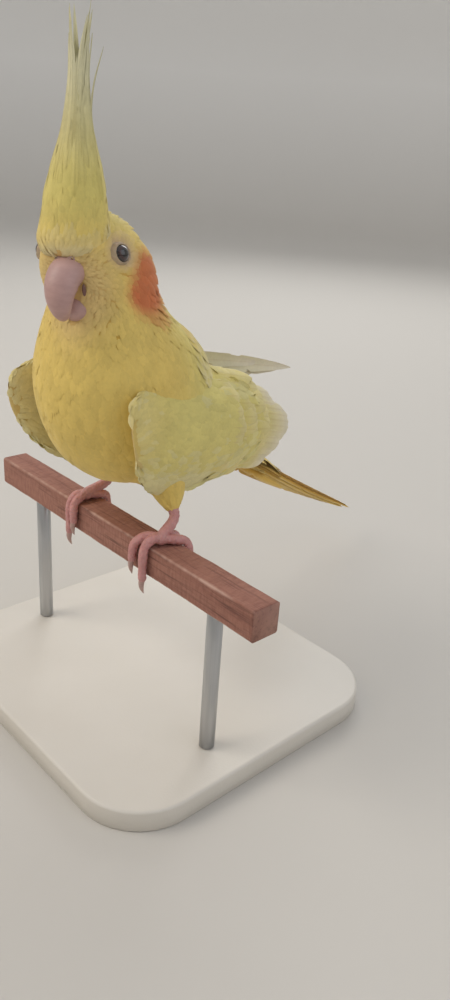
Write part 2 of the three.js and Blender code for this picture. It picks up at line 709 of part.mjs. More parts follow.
// colours and the scene graph
const paint = (color, roughness, metalness = 0) =>
  new THREE.MeshStandardMaterial({ color, roughness, metalness });
const finish = {
  yellow: paint(0xd9c545, 0.85),
  wingYellow: paint(0xc9c667, 0.8),
  tailYellow: paint(0xc9ad3c, 0.8),
  bill: paint(0xb79a96, 0.5),
  eye: paint(0x1d1216, 0.12),
  skin: paint(0xc98d86, 0.6),
  claw: paint(0xa88b7c, 0.45),
  wood: paint(0x9a5f52, 0.8),
  stand: paint(0xd8d2c8, 0.5),
  steel: paint(0xb9bcc0, 0.3, 1),
};

function meshOf(name, solid, material) {
  const geometry = geometryOf(solid);
  geometry.computeVertexNormals();
  const mesh = new THREE.Mesh(geometry, material);
  mesh.name = name;
  return mesh;
}

const { headPiece, neckPiece, torsoPiece, tailPiece } = makeHeadAndBody();
const torsoGrown = torsoSkin(gap);
const wholeBird = new THREE.Group();
const place = (name, solid, material) => wholeBird.add(meshOf(name, solid, material));

place("head", headPiece, finish.yellow);
place("neck", neckPiece, finish.yellow);
place("torso", torsoPiece, finish.yellow);
place("crest", sound(makeCrest), finish.yellow);
const upperBillPiece = upperBillSkin();
place("bill_upper", upperBillPiece, finish.bill);
place("bill_lower", largest(lowerBillSkin().subtract(upperBillSkin(gap))), finish.bill);
for (const [name, side] of [["left", 1], ["right", -1]])
  place(`eye_${name}`, moved(ball(eyeSpot(side), eye.radius, 12, 8), headPlace), finish.eye);

place("tail", sound((stout) => makeTail(tailPiece, stout)), finish.tailYellow);

const thighPieces = {};
for (const name of ["left", "right"]) {
  thighPieces[name] = largest(thighSkin(name).subtract(torsoGrown));
  place(`leg_${name}`, thighPieces[name], finish.yellow);
  const { foot, claws } = makeFoot(name);
  place(`foot_${name}`, foot, finish.skin);
  for (const [kind, nail] of Object.entries(claws)) place(`claw_${name}_${kind}`, nail, finish.claw);
}

for (const [name, sizes, spikes] of [
  ["left", wingSizes.left, []],
  ["right", wingSizes.right, longFeathers],
]) {
  const made = sound((stout) => {
    const shaped = makeWing(sizes, spikes, stout);
    const sided = name === "left" ? shaped : mirrored(shaped);
    return sided.subtract(torsoGrown).subtract(thighSkin(name, gap));
  });
  place(`wing_${name}`, made, finish.wingYellow);
}

wholeBird.applyMatrix4(birdPlace);

const part = new THREE.Group();
part.add(wholeBird);
const standing = new THREE.Group();
part.add(standing);
const wood = meshOf("perch", perchSkin(), finish.wood);
wood.position.z = perch.top;
standing.add(wood);
standing.add(meshOf("stand_base", makeBase(), finish.stand));
standing.add(meshOf("stand_rod_left", makeRod(rod.spacing / 2), finish.steel));
standing.add(meshOf("stand_rod_right", makeRod(-rod.spacing / 2), finish.steel));
standing.position.y = -base.centreY;

export default part;
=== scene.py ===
import itertools
import math

import bmesh
import bpy
import numpy as np
from mathutils import Matrix, Vector
from mathutils.bvhtree import BVHTree
from mathutils.kdtree import KDTree


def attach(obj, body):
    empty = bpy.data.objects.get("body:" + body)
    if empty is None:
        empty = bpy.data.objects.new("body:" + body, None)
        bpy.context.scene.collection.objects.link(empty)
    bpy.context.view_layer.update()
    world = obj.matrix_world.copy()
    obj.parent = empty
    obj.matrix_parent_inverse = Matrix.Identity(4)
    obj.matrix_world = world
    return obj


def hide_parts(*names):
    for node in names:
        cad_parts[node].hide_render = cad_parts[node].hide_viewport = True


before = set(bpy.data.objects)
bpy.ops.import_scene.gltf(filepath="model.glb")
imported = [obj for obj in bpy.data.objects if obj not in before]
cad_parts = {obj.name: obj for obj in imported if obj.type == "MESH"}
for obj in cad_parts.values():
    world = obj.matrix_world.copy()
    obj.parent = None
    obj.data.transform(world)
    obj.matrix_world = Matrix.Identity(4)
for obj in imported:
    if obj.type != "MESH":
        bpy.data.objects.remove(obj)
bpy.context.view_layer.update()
draw = np.random.default_rng(11)  # every random draw comes from this one
print("frame loaded")

# helpers
# All shapes are worked out in millimetres in the bird's own frame, with z from the top of the perch,
# y running back and x to the bird's left. The last step sets them in the part's frame in metres.
stance = {"turn": 12, "perchTop": 82, "back": 18}
partPlace = Matrix.Scale(0.001, 4)  # millimetres in the part's own frame
standPlace = partPlace @ Matrix.Translation((0, -stance["back"], stance["perchTop"]))
birdPlace = standPlace @ Matrix.Rotation(math.radians(stance["turn"]), 4, "Z")

headPose = {"centre": (0, -13, 97), "turn": 14, "nod": 4, "tilt": -3}
headPlace = (
    Matrix.Translation(headPose["centre"])
    @ Matrix.Rotation(math.radians(headPose["turn"]), 4, "Z")
    @ Matrix.Rotation(math.radians(headPose["nod"]), 4, "X")
    @ Matrix.Rotation(math.radians(headPose["tilt"]), 4, "Y")
)


def moved(points, matrix):
    m = np.array(matrix)
    return np.asarray(points, float) @ m[:3, :3].T + m[:3, 3]


def turned(vectors, matrix):
    return unit(np.asarray(vectors, float) @ np.array(matrix)[:3, :3].T)


def fromHead(points):
    # places in the head's own frame
    return moved(points, headPlace.inverted())


def unit(vectors):
    return vectors / np.maximum(np.linalg.norm(vectors, axis=-1, keepdims=True), 1e-9)


def smooth(value, low, high):
    share = np.clip((np.asarray(value, float) - low) / (high - low), 0, 1)
    return share * share * (3 - 2 * share)


def between(a, b, share):
    return a + (b - a) * share


def curvePoint(points, share):
    # a smooth curve through the points, evenly shared out between them
    points = np.asarray(points, float)
    last = len(points) - 1
    place = min(max(share, 0) * last, last - 1e-9)
    i = int(place)
    w = place - i
    p1, p2 = points[i], points[i + 1]
    p0 = points[i - 1] if i else 2 * p1 - p2
    p3 = points[i + 2] if i + 2 <= last else 2 * p2 - p1
    d0, d1, d2 = (max(np.linalg.norm(b - a) ** 0.5, 1e-4) for a, b in ((p0, p1), (p1, p2), (p2, p3)))
    t1 = ((p1 - p0) / d0 - (p2 - p0) / (d0 + d1) + (p2 - p1) / d1) * d1
    t2 = ((p2 - p1) / d1 - (p3 - p1) / (d1 + d2) + (p3 - p2) / d2) * d1
    return p1 + t1 * w + (3 * (p2 - p1) - 2 * t1 - t2) * w * w + (2 * (p1 - p2) + t1 + t2) * w ** 3


def curveTangent(points, share):
    low, high = max(share - 0.01, 0), min(share + 0.01, 1)
    return unit(curvePoint(points, high) - curvePoint(points, low))


def turnsOf(sides):
    return np.linspace(0, 2 * math.pi, sides, endpoint=False)


def ovalRing(sides, centre, across, upwards):
    turns = turnsOf(sides)[:, None]
    return np.asarray(centre) + np.cos(turns) * np.asarray(across) + np.sin(turns) * np.asarray(upwards)


def tubeRings(centres, radii, sides, steps):
    rings = []
    for t in np.linspace(0, 1, steps + 1):
        along = curveTangent(centres, t)
        up = unit(np.cross((1, 0, 0), along))
        radius = float(curvePoint([(r, 0, 0) for r in radii], t)[0])
        rings.append(ovalRing(sides, curvePoint(centres, t), np.cross(along, up) * radius, up * radius))
    return rings


def loft(mesh, rings, closed=False):
    # a skin through rings of points: circles bridged one to the next, their ends filled or joined
    loops = []
    for ring in rings:
        verts = bmesh.ops.create_circle(mesh, segments=len(ring), radius=1)["verts"]
        for vert, point in zip(verts, ring):
            vert.co = point
        loops.append(verts)
    edges = [list({edge for vert in verts for edge in vert.link_edges}) for verts in loops]
    for first, second in zip(edges, edges[1:] + edges[:1] if closed else edges[1:]):
        bmesh.ops.bridge_loops(mesh, edges=first + second)
    if not closed:
        for end in (loops[0], loops[-1]):
            bmesh.ops.contextual_create(mesh, geom=end)


def newPiece(name, mesh, material, replaces=(), place=birdPlace):
    # a finished object from a bmesh in millimetres
    bmesh.ops.transform(mesh, matrix=place, verts=mesh.verts)
    bmesh.ops.recalc_face_normals(mesh, faces=mesh.faces)
    data = bpy.data.meshes.new(name)
    mesh.to_mesh(data)
    mesh.free()
    data.shade_smooth()
    return settled(bpy.data.objects.new(name, data), material, replaces)


def settled(piece, material, replaces):
    bpy.context.scene.collection.objects.link(piece)
    piece.data.materials.append(material)
    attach(piece, "root")
    if replaces:
        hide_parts(*replaces)
    return piece


def pieceFromArrays(name, points, triangles, marks, bakeUv, shading, material, replaces=()):
    # many feathers as one mesh: marks holds channels for each point, bakeUv a place for each corner, and
    # shading the normals that let the feathers take the light as the plumage as a whole does
    data = bpy.data.meshes.new(name)
    data.vertices.add(len(points))
    data.vertices.foreach_set("co", moved(points, birdPlace).astype(np.float32).ravel())
    data.loops.add(triangles.size)
    data.loops.foreach_set("vertex_index", triangles.astype(np.int32).ravel())
    data.polygons.add(len(triangles))
    data.polygons.foreach_set("loop_start", np.arange(0, triangles.size, 3, dtype=np.int32))
    data.update(calc_edges=True)
    data.shade_smooth()
    for title, values in marks.items():
        layer = data.attributes.new(title, "FLOAT_COLOR", "POINT")
        padded = np.ones((len(points), 4), np.float32)
        padded[:, : values.shape[1]] = values
        layer.data.foreach_set("color", padded.ravel())
    data.uv_layers.new(name="OFBake").data.foreach_set("uv", bakeUv.astype(np.float32).ravel())
    data.normals_split_custom_set(turned(shading, birdPlace))
    print(name, len(triangles), "triangles")
    return settled(bpy.data.objects.new(name, data), material, replaces)


# the bird's form, the same sizes as the solids'
bodySlices = {
    "front": [(-27, 92), (-28.5, 84), (-31.5, 75), (-34.5, 65), (-35.5, 54), (-32.8, 41.5), (-25.5, 28.5),
              (-11.5, 18), (10, 12.6), (33, 10.4), (54, 8), (70, 5)],
    "back": [(3, 96.5), (7, 90), (14, 83), (24, 76.5), (33, 68.5), (40, 59.5), (45.5, 50.5),
             (51.5, 41.5), (58, 33), (65, 25.5), (72, 19.5), (78.5, 14)],
    "wide": [16, 18.6, 23.2, 27.8, 29.8, 29.6, 27.8, 24.8, 19.8, 14, 9.8, 7],
}
headStations = {
    "y": [-18.8, -16.6, -11.5, -4.5, 3, 10, 16, 19],
    "z": [0.5, 0.5, 0, -0.5, -1.5, -3.5, -6, -7.5],
    "wide": [6.5, 11.8, 15.6, 17.8, 18.2, 17, 13, 8],
    "deep": [6.5, 12.4, 16.2, 18.2, 18.2, 16.6, 12.8, 7.5],
}
cheekForm = {"centre": (13.8, 2, -8.8), "radius": 7.8, "shape": (0.75, 1.15, 1)}
eyeForm = {"centre": (13.6, -8.4, 5.4), "radius": 3.15, "looks": (0.93, -0.26, 0.26)}
cereForm = {
    "centre": (2.1, -17.6, 4.6), "radius": 3, "shape": (1, 0.9, 0.8),
    "nostril": (3.4, -19.9, 5.2), "sunk": 0.7,  # the bristles over the bill nearly hide the nostrils
    "rim": [(0.35, -0.9), (0.42, -0.65), (0.6, -0.5), (0.9, -0.5), (1.3, -0.75), (1.7, -1.2), (1.9, -1.8),
            (0.5, -2)],  # radius and height of the rings round a nostril
    "pit": 0.42, "pitDeep": 0.98,
}
billForm = {
    "hub": (-14.6, -7.4), "bend": 8.6, "from": 96, "to": -36, "wide": 6.35, "deep": 4.8, "tip": 0.5,
    "lower": (0, -14.2, -11), "lowerSize": (4.8, 4.5, 4.6),
    "tooth": 0.35, "toothAt": 0.52, "keel": 0.06,
}
# the balls at the mouth's corners are the gape's skin, coloured dark as painted shade where the bill meets the
# face
gapeForm = {"centre": (5.7, -18, -4.4), "reach": (0.6, 0.8, 1.9), "clear": 0.7}
thighForm = {
    "left": [(15, 4, 28), (20, 4, 18), (26, 1.4, 8.6)],
    "right": [(-13, 8, 28), (-16.5, 11, 17), (-19.4, 13.8, 6.6)],
    "radii": [11, 9, 3.4],
}


def bodyRing(share, sides):
    front = curvePoint([(0, y, z) for y, z in bodySlices["front"]], share)
    back = curvePoint([(0, y, z) for y, z in bodySlices["back"]], share)
    wide = curvePoint([(w, 0, 0) for w in bodySlices["wide"]], share)
    return ovalRing(sides, (front + back) / 2, wide, (back - front) / 2)


def headRing(share, sides):
    middle = curvePoint([(0, y, z) for y, z in zip(headStations["y"], headStations["z"])], share)
    girth = curvePoint([(w, 0, d) for w, d in zip(headStations["wide"], headStations["deep"])], share)
    return moved(ovalRing(sides, middle, (girth[0], 0, 0), (0, 0, girth[2])), headPlace)


def ball(mesh, centre, radius, shape=(1, 1, 1), place=Matrix(), fine=3):
    matrix = place @ Matrix.Translation(centre) @ Matrix.Diagonal((*shape, 1))
    return bmesh.ops.create_icosphere(mesh, subdivisions=fine, radius=radius, matrix=matrix)["verts"]


def bothSides(centre):
    return [(1, Vector(centre)), (-1, Vector((-centre[0], centre[1], centre[2])))]


def loftedMesh(rings):
    # a closed form of its own, ready to carry a coat
    mesh = bmesh.new()
    loft(mesh, rings)
    bmesh.ops.triangulate(mesh, faces=mesh.faces)
    bmesh.ops.recalc_face_normals(mesh, faces=mesh.faces)
    mesh.normal_update()
    return mesh


# skin
skinForm = {"voxel": 1.25, "smoothing": 7, "depthHead": 1.1, "depthBody": 2.2}


def makeSkinMesh():
    mesh = bmesh.new()
    loft(mesh, [bodyRing(t, 48) for t in np.linspace(0, 1, 34)])
    loft(mesh, [headRing(t, 44) for t in np.linspace(0, 1, 22)])
    for form in (cheekForm, cereForm):
        for _, centre in bothSides(form["centre"]):
            ball(mesh, centre, form["radius"], form["shape"], headPlace)
    for name in ("left", "right"):
        loft(mesh, tubeRings(thighForm[name], thighForm["radii"], 22, 12))
    bmesh.ops.recalc_face_normals(mesh, faces=mesh.faces)
    data = bpy.data.meshes.new("skinDraft")
    mesh.to_mesh(data)
    mesh.free()
    draft = bpy.data.objects.new("skinDraft", data)
    bpy.context.scene.collection.objects.link(draft)
    remesh = draft.modifiers.new("whole", "REMESH")
    remesh.mode = "VOXEL"
    remesh.voxel_size = skinForm["voxel"]
    graph = bpy.context.evaluated_depsgraph_get()
    whole = bmesh.new()
    whole.from_mesh(draft.evaluated_get(graph).to_mesh())
    bpy.data.objects.remove(draft)
    for _ in range(skinForm["smoothing"]):
        bmesh.ops.smooth_vert(whole, verts=whole.verts, factor=0.5,
                              use_axis_x=True, use_axis_y=True, use_axis_z=True)
    bmesh.ops.triangulate(whole, faces=whole.faces)
    whole.normal_update()
    centre = Vector(headPose["centre"])
    for vert in whole.verts:
        near = smooth((vert.co - centre).length, 20, 42)
        vert.co -= vert.normal * float(between(skinForm["depthHead"], skinForm["depthBody"], near))
    whole.normal_update()
    return whole


def ringSamples(rings, region):
    # points over a lofted form, each with the way its coat lies and its place in a region of the unwrap
    rings = np.array(rings)
    ways = unit(np.gradient(rings, axis=0))
    left, low, wide, high = region
    last, sides = len(rings) - 1, len(rings[0])
    return [(point, ways[i, k], (left + wide * (k + 0.5) / sides, low + high * i / last))
            for i, ring in enumerate(rings) for k, point in enumerate(ring)]


def bodySamples():
    found = ringSamples([bodyRing(t, 60) for t in np.linspace(0, 1, 60)], (0, 0.3, 1, 0.5))
    found += ringSamples([headRing(t, 50) for t in np.linspace(0, 1, 30)], (0, 0.02, 1, 0.26))
    for i, name in enumerate(("left", "right")):
        rings = tubeRings(thighForm[name], thighForm["radii"], 24, 14)
        found += ringSamples(rings, (0, 0.81 + 0.09 * i, 1, 0.08))
    return found


def coatedSurface(mesh, samples, steer=None):
    # what feathers need of the surface they grow on, with the lie of the coat at each of its triangles
    points = np.array([v.co for v in mesh.verts])
    triangles = np.array([[v.index for v in f.verts] for f in mesh.faces])
    index = KDTree(len(samples))
    for i, (point, _, _) in enumerate(samples):
        index.insert(point, i)
    index.balance()
    ways = np.array([way for _, way, _ in samples])
    lie = np.zeros_like(points)
    places = np.zeros((len(points), 2))
    for i, point in enumerate(points):
        near = [found[1] for found in index.find_n(point, 7)]
        lie[i] = ways[near].sum(0)
        places[i] = samples[near[0]][2]
    if steer:
        lie = steer(points, unit(lie))
    normals = np.array([v.normal for v in mesh.verts])
    pairs = np.array([[v.index for v in e.verts] for e in mesh.edges])
    for _ in range(12):
        total = lie.copy()
        np.add.at(total, pairs[:, 0], lie[pairs[:, 1]])
        np.add.at(total, pairs[:, 1], lie[pairs[:, 0]])
        total -= normals * (total * normals).sum(1, keepdims=True)
        lie = unit(total)
    a, b, c = (points[triangles[:, k]] for k in range(3))
    return {
        "points": points, "triangles": triangles, "tree": BVHTree.FromBMesh(mesh),
        "areas": np.linalg.norm(np.cross(b - a, c - a), axis=1) / 2,
        "lie": unit(lie[triangles].mean(1)),
        "places": places[triangles[:, 0]],
        "normals": np.array([f.normal for f in mesh.faces]),
    }


def scatterRoots(surface, spacingAt, keep):
    # roots spread evenly, with the spacing that the place asks for
    corners = surface["points"][surface["triangles"]]
    wanted = surface["areas"] / spacingAt(corners.mean(1)) ** 2 * 3.2
    picks = np.repeat(np.arange(len(wanted)), draw.poisson(wanted))
    draw.shuffle(picks)
    mix = draw.dirichlet((1, 1, 1), len(picks))
    spots = (corners[picks] * mix[:, :, None]).sum(1)
    kept = keep(spots)
    picks, spots = picks[kept], spots[kept]
    gaps = 0.8 * spacingAt(spots)
    around = list(itertools.product((-1, 0, 1), repeat=3))
    grid, chosen = {}, []
    for i, (x, y, z) in enumerate(np.floor(spots / 3).astype(int)):
        others = (other for dx, dy, dz in around for other in grid.get((x + dx, y + dy, z + dz), ()))
        aways = (spots[other] - spots[i] for other in others)
        if all(away @ away >= gaps[i] ** 2 for away in aways):
            grid.setdefault((x, y, z), []).append(i)
            chosen.append(i)
    return picks[chosen], spots[chosen]


plateForm = {
    "steps": 5, "sink": 0.35,  # places along a feather's midline, and how deep its root lies
    "columns": 7, "rounding": 0.22, "cup": 0.07, "thick": 0.11, "loose": 0.05,
}


def midlines(surface, faces, spots, lengths, lift, stand, stray):
    # walks each feather's midline along the lie: it leaves the surface near its root and lies close over it
    count, steps = len(spots), plateForm["steps"]
    paths, normals = np.zeros((2, count, steps, 3))
    lies = surface["lie"][faces] + draw.normal(0, stray, (count, 3))
    for i in range(count):
        point = Vector(spots[i])
        normal = Vector(surface["normals"][faces[i]])
        way = Vector(lies[i]).normalized()
        step = lengths[i] / (steps - 1)
        for k, t in enumerate(np.linspace(0, 1, steps)):
            raised = between(-plateForm["sink"], lift[i], min(1, t / 0.35)) + stand[i] * t * lengths[i]
            paths[i, k] = point + normal * raised
            normals[i, k] = normal
            point, faceNormal, face, _ = surface["tree"].find_nearest(point + way * step)
            normal = (normal + faceNormal * 1.5).normalized()
            way = (way * 1.2 + Vector(surface["lie"][face])).normalized()
            way = (way - normal * way.dot(normal)).normalized()
    return paths, normals


def cornerShading(points, triangles, upper):
    # the plumage's own normals at each corner, turned over on the faces that look inwards
    a, b, c = (points[triangles[:, k]] for k in range(3))
    outwards = (np.cross(b - a, c - a) * upper[triangles].mean(axis=1)).sum(axis=1) > 0
    return (upper[triangles] * np.where(outwards, 1, -1)[:, None, None]).reshape(-1, 3)


def plateFeathers(paths, normals, widths):
    # each feather is one thin cupped vane, closed underneath, whose barbs part into points at the tip
    count, steps, _ = paths.shape
    columns, thick = plateForm["columns"], plateForm["thick"]
    rows = np.array([0, 0.3, 0.56, 0.8, 1.0])
    along = unit(np.gradient(paths, axis=1))
    sides = unit(np.cross(normals, along))
    outs = np.cross(along, sides)
    fans = np.linspace(-1, 1, columns)
    comb = np.where(np.arange(columns) % 2 == 0, 0.0, -0.075)
    reach = 1 - plateForm["rounding"] * fans ** 2 + comb + draw.normal(0, plateForm["loose"], (count, columns))
    t = rows[None, :, None] * np.clip(reach, 0.4, 1)[:, None, :]
    place = np.clip(t * (steps - 1), 0, steps - 1 - 1e-6)
    low = place.astype(int)
    share = (place - low)[..., None]
    who = np.arange(count)[:, None, None]

    def sampled(values):
        return values[who, low] * (1 - share) + values[who, low + 1] * share

    middle, side, out = sampled(paths), sampled(sides), sampled(outs)
    swell = (0.35 + 0.65 * np.sin(np.minimum(rows / 0.62, 1) * math.pi / 2)) * np.sqrt(1 - 0.45 * rows ** 4)
    half = (widths[:, None] / 2 * swell[None, :])[:, :, None, None]
    fan = fans[None, None, :, None]
    top = middle + side * fan * half - out * plateForm["cup"] * fan ** 2 * half
    body = np.sqrt(np.clip(1 - rows ** 2, 0, 1))[None, :, None, None]
    ridge = thick * (1 - fan ** 2) * body
    under = (middle - out * thick * 0.6 * body)[:, 1:4, columns // 2]
    top = top + out * ridge
    points = np.concatenate([top.reshape(count, -1, 3), under], axis=1)
    upper = unit(out + side * fan * 0.3).reshape(count, -1, 3)
    upper = np.concatenate([upper, out[:, 1:4, columns // 2]], axis=1).reshape(-1, 3)
    last = len(rows) - 1
    faces = []
    for r in range(last):
        for c in range(columns - 1):
            i = r * columns + c
            faces += [(i, i + 1, i + columns + 1), (i, i + columns + 1, i + columns)]
    c1 = len(rows) * columns
    faces += [(c + 1, c, c1) for c in range(columns - 1)]
    for edge, turn in ((0, 1), (columns - 1, -1)):
        line = [r * columns + edge for r in range(last)]
        strip = [(line[0], line[1], c1), (line[1], line[2], c1 + 1), (line[1], c1 + 1, c1),
                 (line[2], line[3], c1 + 2), (line[2], c1 + 2, c1 + 1)]
        faces += [face[::turn] for face in strip]
    tips = [last * columns + c for c in range(columns)]
    rim = [(last - 1) * columns, *tips, last * columns - 1]
    faces += [(a, b, c1 + 2) for a, b in zip(rim, rim[1:])]
    faces = np.array(faces)[:, ::-1]
    each = points.shape[1]
    triangles = (faces[None] + (np.arange(count) * each)[:, None, None]).reshape(-1, 3)
    alongAt = np.concatenate([np.repeat(rows, columns), rows[1:4]])
    acrossAt = np.concatenate([np.tile(fans, len(rows)), np.zeros(3)])
    owner = np.repeat(np.arange(count), each)
    points = points.reshape(-1, 3)
    return (points, triangles, np.tile(alongAt, count), np.tile(acrossAt, count), owner,
            cornerShading(points, triangles, upper))


# markings: the same for skin and coat
markings = {
    "cheek": {"centre": (15.5, 2.4, -5.4), "reach": (11, 11.6, 12.6), "edge": (0.62, 1.06)},
    "eyeRing": (3.6, 6.8),  # the bare ring is pale up to here and feathered from there
    "face": {"centre": (0, -17, -4), "edge": (8, 20), "pale": 0.55, "top": 9},
    "crest": {"greenFrom": 6, "greenTo": 20, "paleFrom": 22, "paleTo": 64, "most": 0.85},
    "back": {"behind": (-8, 15), "above": (30, 60), "green": 0.8},
}


def flatMarks(orange, pale, green):
    # the same marks all over
    return lambda points: np.tile([float(orange), float(pale), float(green)], (len(points), 1))


def mirrored(points):
    # both sides of the head brought to its left
    return points * np.where(points[:, :1] < 0, (-1, 1, 1), 1)


def awayFrom(points, form):
    # how far points lie from the middle of a zone, as shares of its reach
    return np.linalg.norm((points - np.array(form["centre"])) / form.get("reach", 1), axis=1)


def markingsAt(points):
    # orange of the cheek, pallor, and the green cast of crest and back, each from 0 to 1
    inHead = fromHead(points)
    height = inHead[:, 2]
    cheek, face, crest, back = (markings[key] for key in ("cheek", "face", "crest", "back"))
    orange = 1 - smooth(awayFrom(mirrored(inHead), cheek), *cheek["edge"])
    pale = 1 - smooth(awayFrom(mirrored(inHead), {"centre": eyeForm["centre"]}), *markings["eyeRing"])
    bare = face["pale"] * (1 - smooth(awayFrom(mirrored(inHead), face), *face["edge"]))
    pale = np.maximum(pale, bare * (height < face["top"]))
    orange = orange * (1 - pale)
    pale = np.maximum(pale, crest["most"] * smooth(height, crest["paleFrom"], crest["paleTo"]))
    green = crest["most"] * smooth(height, crest["greenFrom"], crest["greenTo"])
    mantle = smooth(points[:, 1], *back["behind"]) * smooth(points[:, 2], *back["above"]) * back["green"]
    return np.stack([orange, pale, np.maximum(green, mantle)], 1)


# materials
def linear(colour):
    # an sRGB hex colour as linear light
    parts = [int(colour[i : i + 2], 16) / 255 for i in (1, 3, 5)]
    return (*(p / 12.92 if p <= 0.04045 else ((p + 0.055) / 1.055) ** 2.4 for p in parts), 1)


def addNode(tree, kind, inputs=None, output=0, **settings):
    # one shader node with its settings: its inputs are set or joined, and the output asked for comes back
    node = tree.nodes.new("ShaderNode" + kind)
    for name, value in settings.items():
        setattr(node, name, value)
    for name, value in (inputs or {}).items():
        if isinstance(value, bpy.types.NodeSocket):
            tree.links.new(value, node.inputs[name])
        else:
            node.inputs[name].default_value = value
    return node.outputs[output]


def newMaterial(name, **sockets):
    # a material with the uniform values of its shader set
    material = bpy.data.materials.new(name)
    material.use_nodes = True
    shader = material.node_tree.nodes["Principled BSDF"]
    for socket, value in sockets.items():
        shader.inputs[socket.replace("_", " ")].default_value = value
    return material


def dressed(material, colour, height=None, metres=0.0, strength=1.0):
    # joins the colour to the shader, and the relief with its height in metres where there is one
    tree = material.node_tree
    shader = tree.nodes["Principled BSDF"]
    tree.links.new(colour, shader.inputs["Base Color"])
    if height is not None:
        bump = addNode(tree, "Bump", {"Height": height, "Distance": metres, "Strength": strength})
        tree.links.new(bump, shader.inputs["Normal"])
    return material


def layered(tree, ground, *layers):
    # a ground colour with others laid over it in turn, each by its share
    for share, colour in layers:
        first, second = (linear(c) if isinstance(c, str) else c for c in (ground, colour))
        ground = addNode(tree, "Mix", {0: share, 6: first, 7: second}, 2, data_type="RGBA")
    return ground


def mottling(tree, millimetres, detail=3.0, stretch=(1, 1, 1), rough=0.5):
    # soft blotches so many millimetres across, on the piece's own coordinates
    where = addNode(tree, "Mapping", {"Vector": addNode(tree, "TexCoord", output="Object"), "Scale": stretch})
    noise = {"Vector": where, "Scale": 1000 / millimetres, "Detail": detail, "Roughness": rough}
    return addNode(tree, "TexNoise", noise, "Fac")


plumage = {
    "yellow": "#eacc6e",  # warm yellow of breast and neck
    "green": "#dfd279",  # paler, greenish yellow of crest, back and wings
    "pale": "#d8bb8e",  # thin buff feathering round eye and bill
    "cream": "#e8e5c6",  # faded ends of the crest and the long feathers
    "orange": "#d37645",  # ear patch
    "shade": "#c4a24e",  # painted shade deep between the feathers, at their roots
    "gold": "#e0b64c",  # tail
    "white": "#f0e6d2",  # worn edges of the flight feathers
    "shaft": "#b98d3a",  # the shaft down the middle of a large feather
}


def plumageMaterial(name, ground=plumage["yellow"], softness=0.0, edgeWhite=0.0, tipWhite=0.0, shaft=0.0,
                    rough=0.72, depth=0.2, pale="pale", whiteFrom=0.3, whiteTo=0.75):
    # keratin barbs, matt, with a soft sheen where light grazes them
    material = newMaterial(name, Roughness=rough, IOR=1.54, Sheen_Weight=0.25, Sheen_Roughness=0.45,
                           Sheen_Tint=linear("#fff3c8"))
    tree = material.node_tree
    marks, parts = (
        addNode(tree, "SeparateColor", {0: addNode(tree, "Attribute", attribute_name=title)}).node.outputs
        for title in ("marks", "feather"))
    along, tone, across = parts["Red"], parts["Green"], parts["Blue"]
    broad, fine = mottling(tree, 9), mottling(tree, 1.1, detail=2)
    colour = layered(tree, ground, (marks["Blue"], plumage["green"]), (marks["Green"], plumage[pale]),
                     (marks["Red"], plumage["orange"]))
    # painted shade: each feather darkens towards its root, where the feathers lying over it would shade it;
    # depth says how much
    root = addNode(tree, "MapRange", {"Value": along, "From Max": 0.45, "To Min": depth, "To Max": 0.0})
    colour = layered(tree, colour, (root, layered(tree, colour, (0.55, plumage["shade"]))))
    if edgeWhite or tipWhite:
        edge = addNode(tree, "MapRange", {"Value": across, "From Min": 0.6, "To Max": edgeWhite})
        tip = addNode(tree, "MapRange",
                      {"Value": along, "From Min": whiteFrom, "From Max": whiteTo, "To Max": tipWhite})
        worn = addNode(tree, "Math", {0: edge, 1: tip}, operation="MAXIMUM")
        colour = layered(tree, colour, (worn, plumage["white"]))
    if shaft:
        line = addNode(tree, "MapRange", {"Value": across, "From Max": 0.16, "To Min": shaft, "To Max": 0.0})
        colour = layered(tree, colour, (line, plumage["shaft"]))
    # every feather has a tone of its own, and the plumage is mottled over it
    light = 0.71
    for pattern, share in ((tone, 0.11), (broad, 0.22), (fine, 0.14)):
        light = addNode(tree, "Math", {0: pattern, 1: share, 2: light}, operation="MULTIPLY_ADD")
    colour = addNode(tree, "HueSaturation", {"Value": light, "Color": colour})
    return dressed(material, colour, fine if softness else None, 0.0002, softness)


# depth: how much painted shade darkens each feather at its root
softPlumage = plumageMaterial("softContourFeathers", softness=0.5)
crestPlumage = plumageMaterial("longCrestFeathers", softness=0.4, pale="cream")
wingSoftPlumage = plumageMaterial("wingContourFeathers", softness=0.5, pale="cream")
wingPlumage = plumageMaterial("wingCoverts", edgeWhite=0.25, tipWhite=0.3, shaft=0.15, depth=0.15,
                              pale="cream", whiteFrom=0.6, whiteTo=1.0)
flightPlumage = plumageMaterial("flightFeathers", edgeWhite=0.35, tipWhite=0.85, shaft=0.15, rough=0.6,
                                depth=0.1, pale="cream", whiteFrom=0.5, whiteTo=0.95)
tailPlumage = plumageMaterial("tailFeathers", plumage["gold"], edgeWhite=0.25, shaft=0.4, rough=0.6,
                              depth=0.1, pale="cream")
skinUnder = plumageMaterial("skinUnderPlumage", "#dcb24a")


def skinMaterial(name, colour, deep, scale, rough, height=0.0001):
    # bare skin, soft and a little see-through, raised in scales so many millimetres across
    material = newMaterial(name, Roughness=rough, Subsurface_Weight=0.12, Subsurface_Scale=0.0012)
    tree = material.node_tree
    where = addNode(tree, "TexCoord", output="Object")
    cells = addNode(tree, "TexVoronoi", {"Vector": where, "Scale": 1000 / scale}, "Distance")
    return dressed(material, layered(tree, colour, (mottling(tree, 3.5), deep)), cells, -height, 0.8)


cereSkin = skinMaterial("cereSkin", "#c6a498", "#b08d84", 0.5, 0.55)
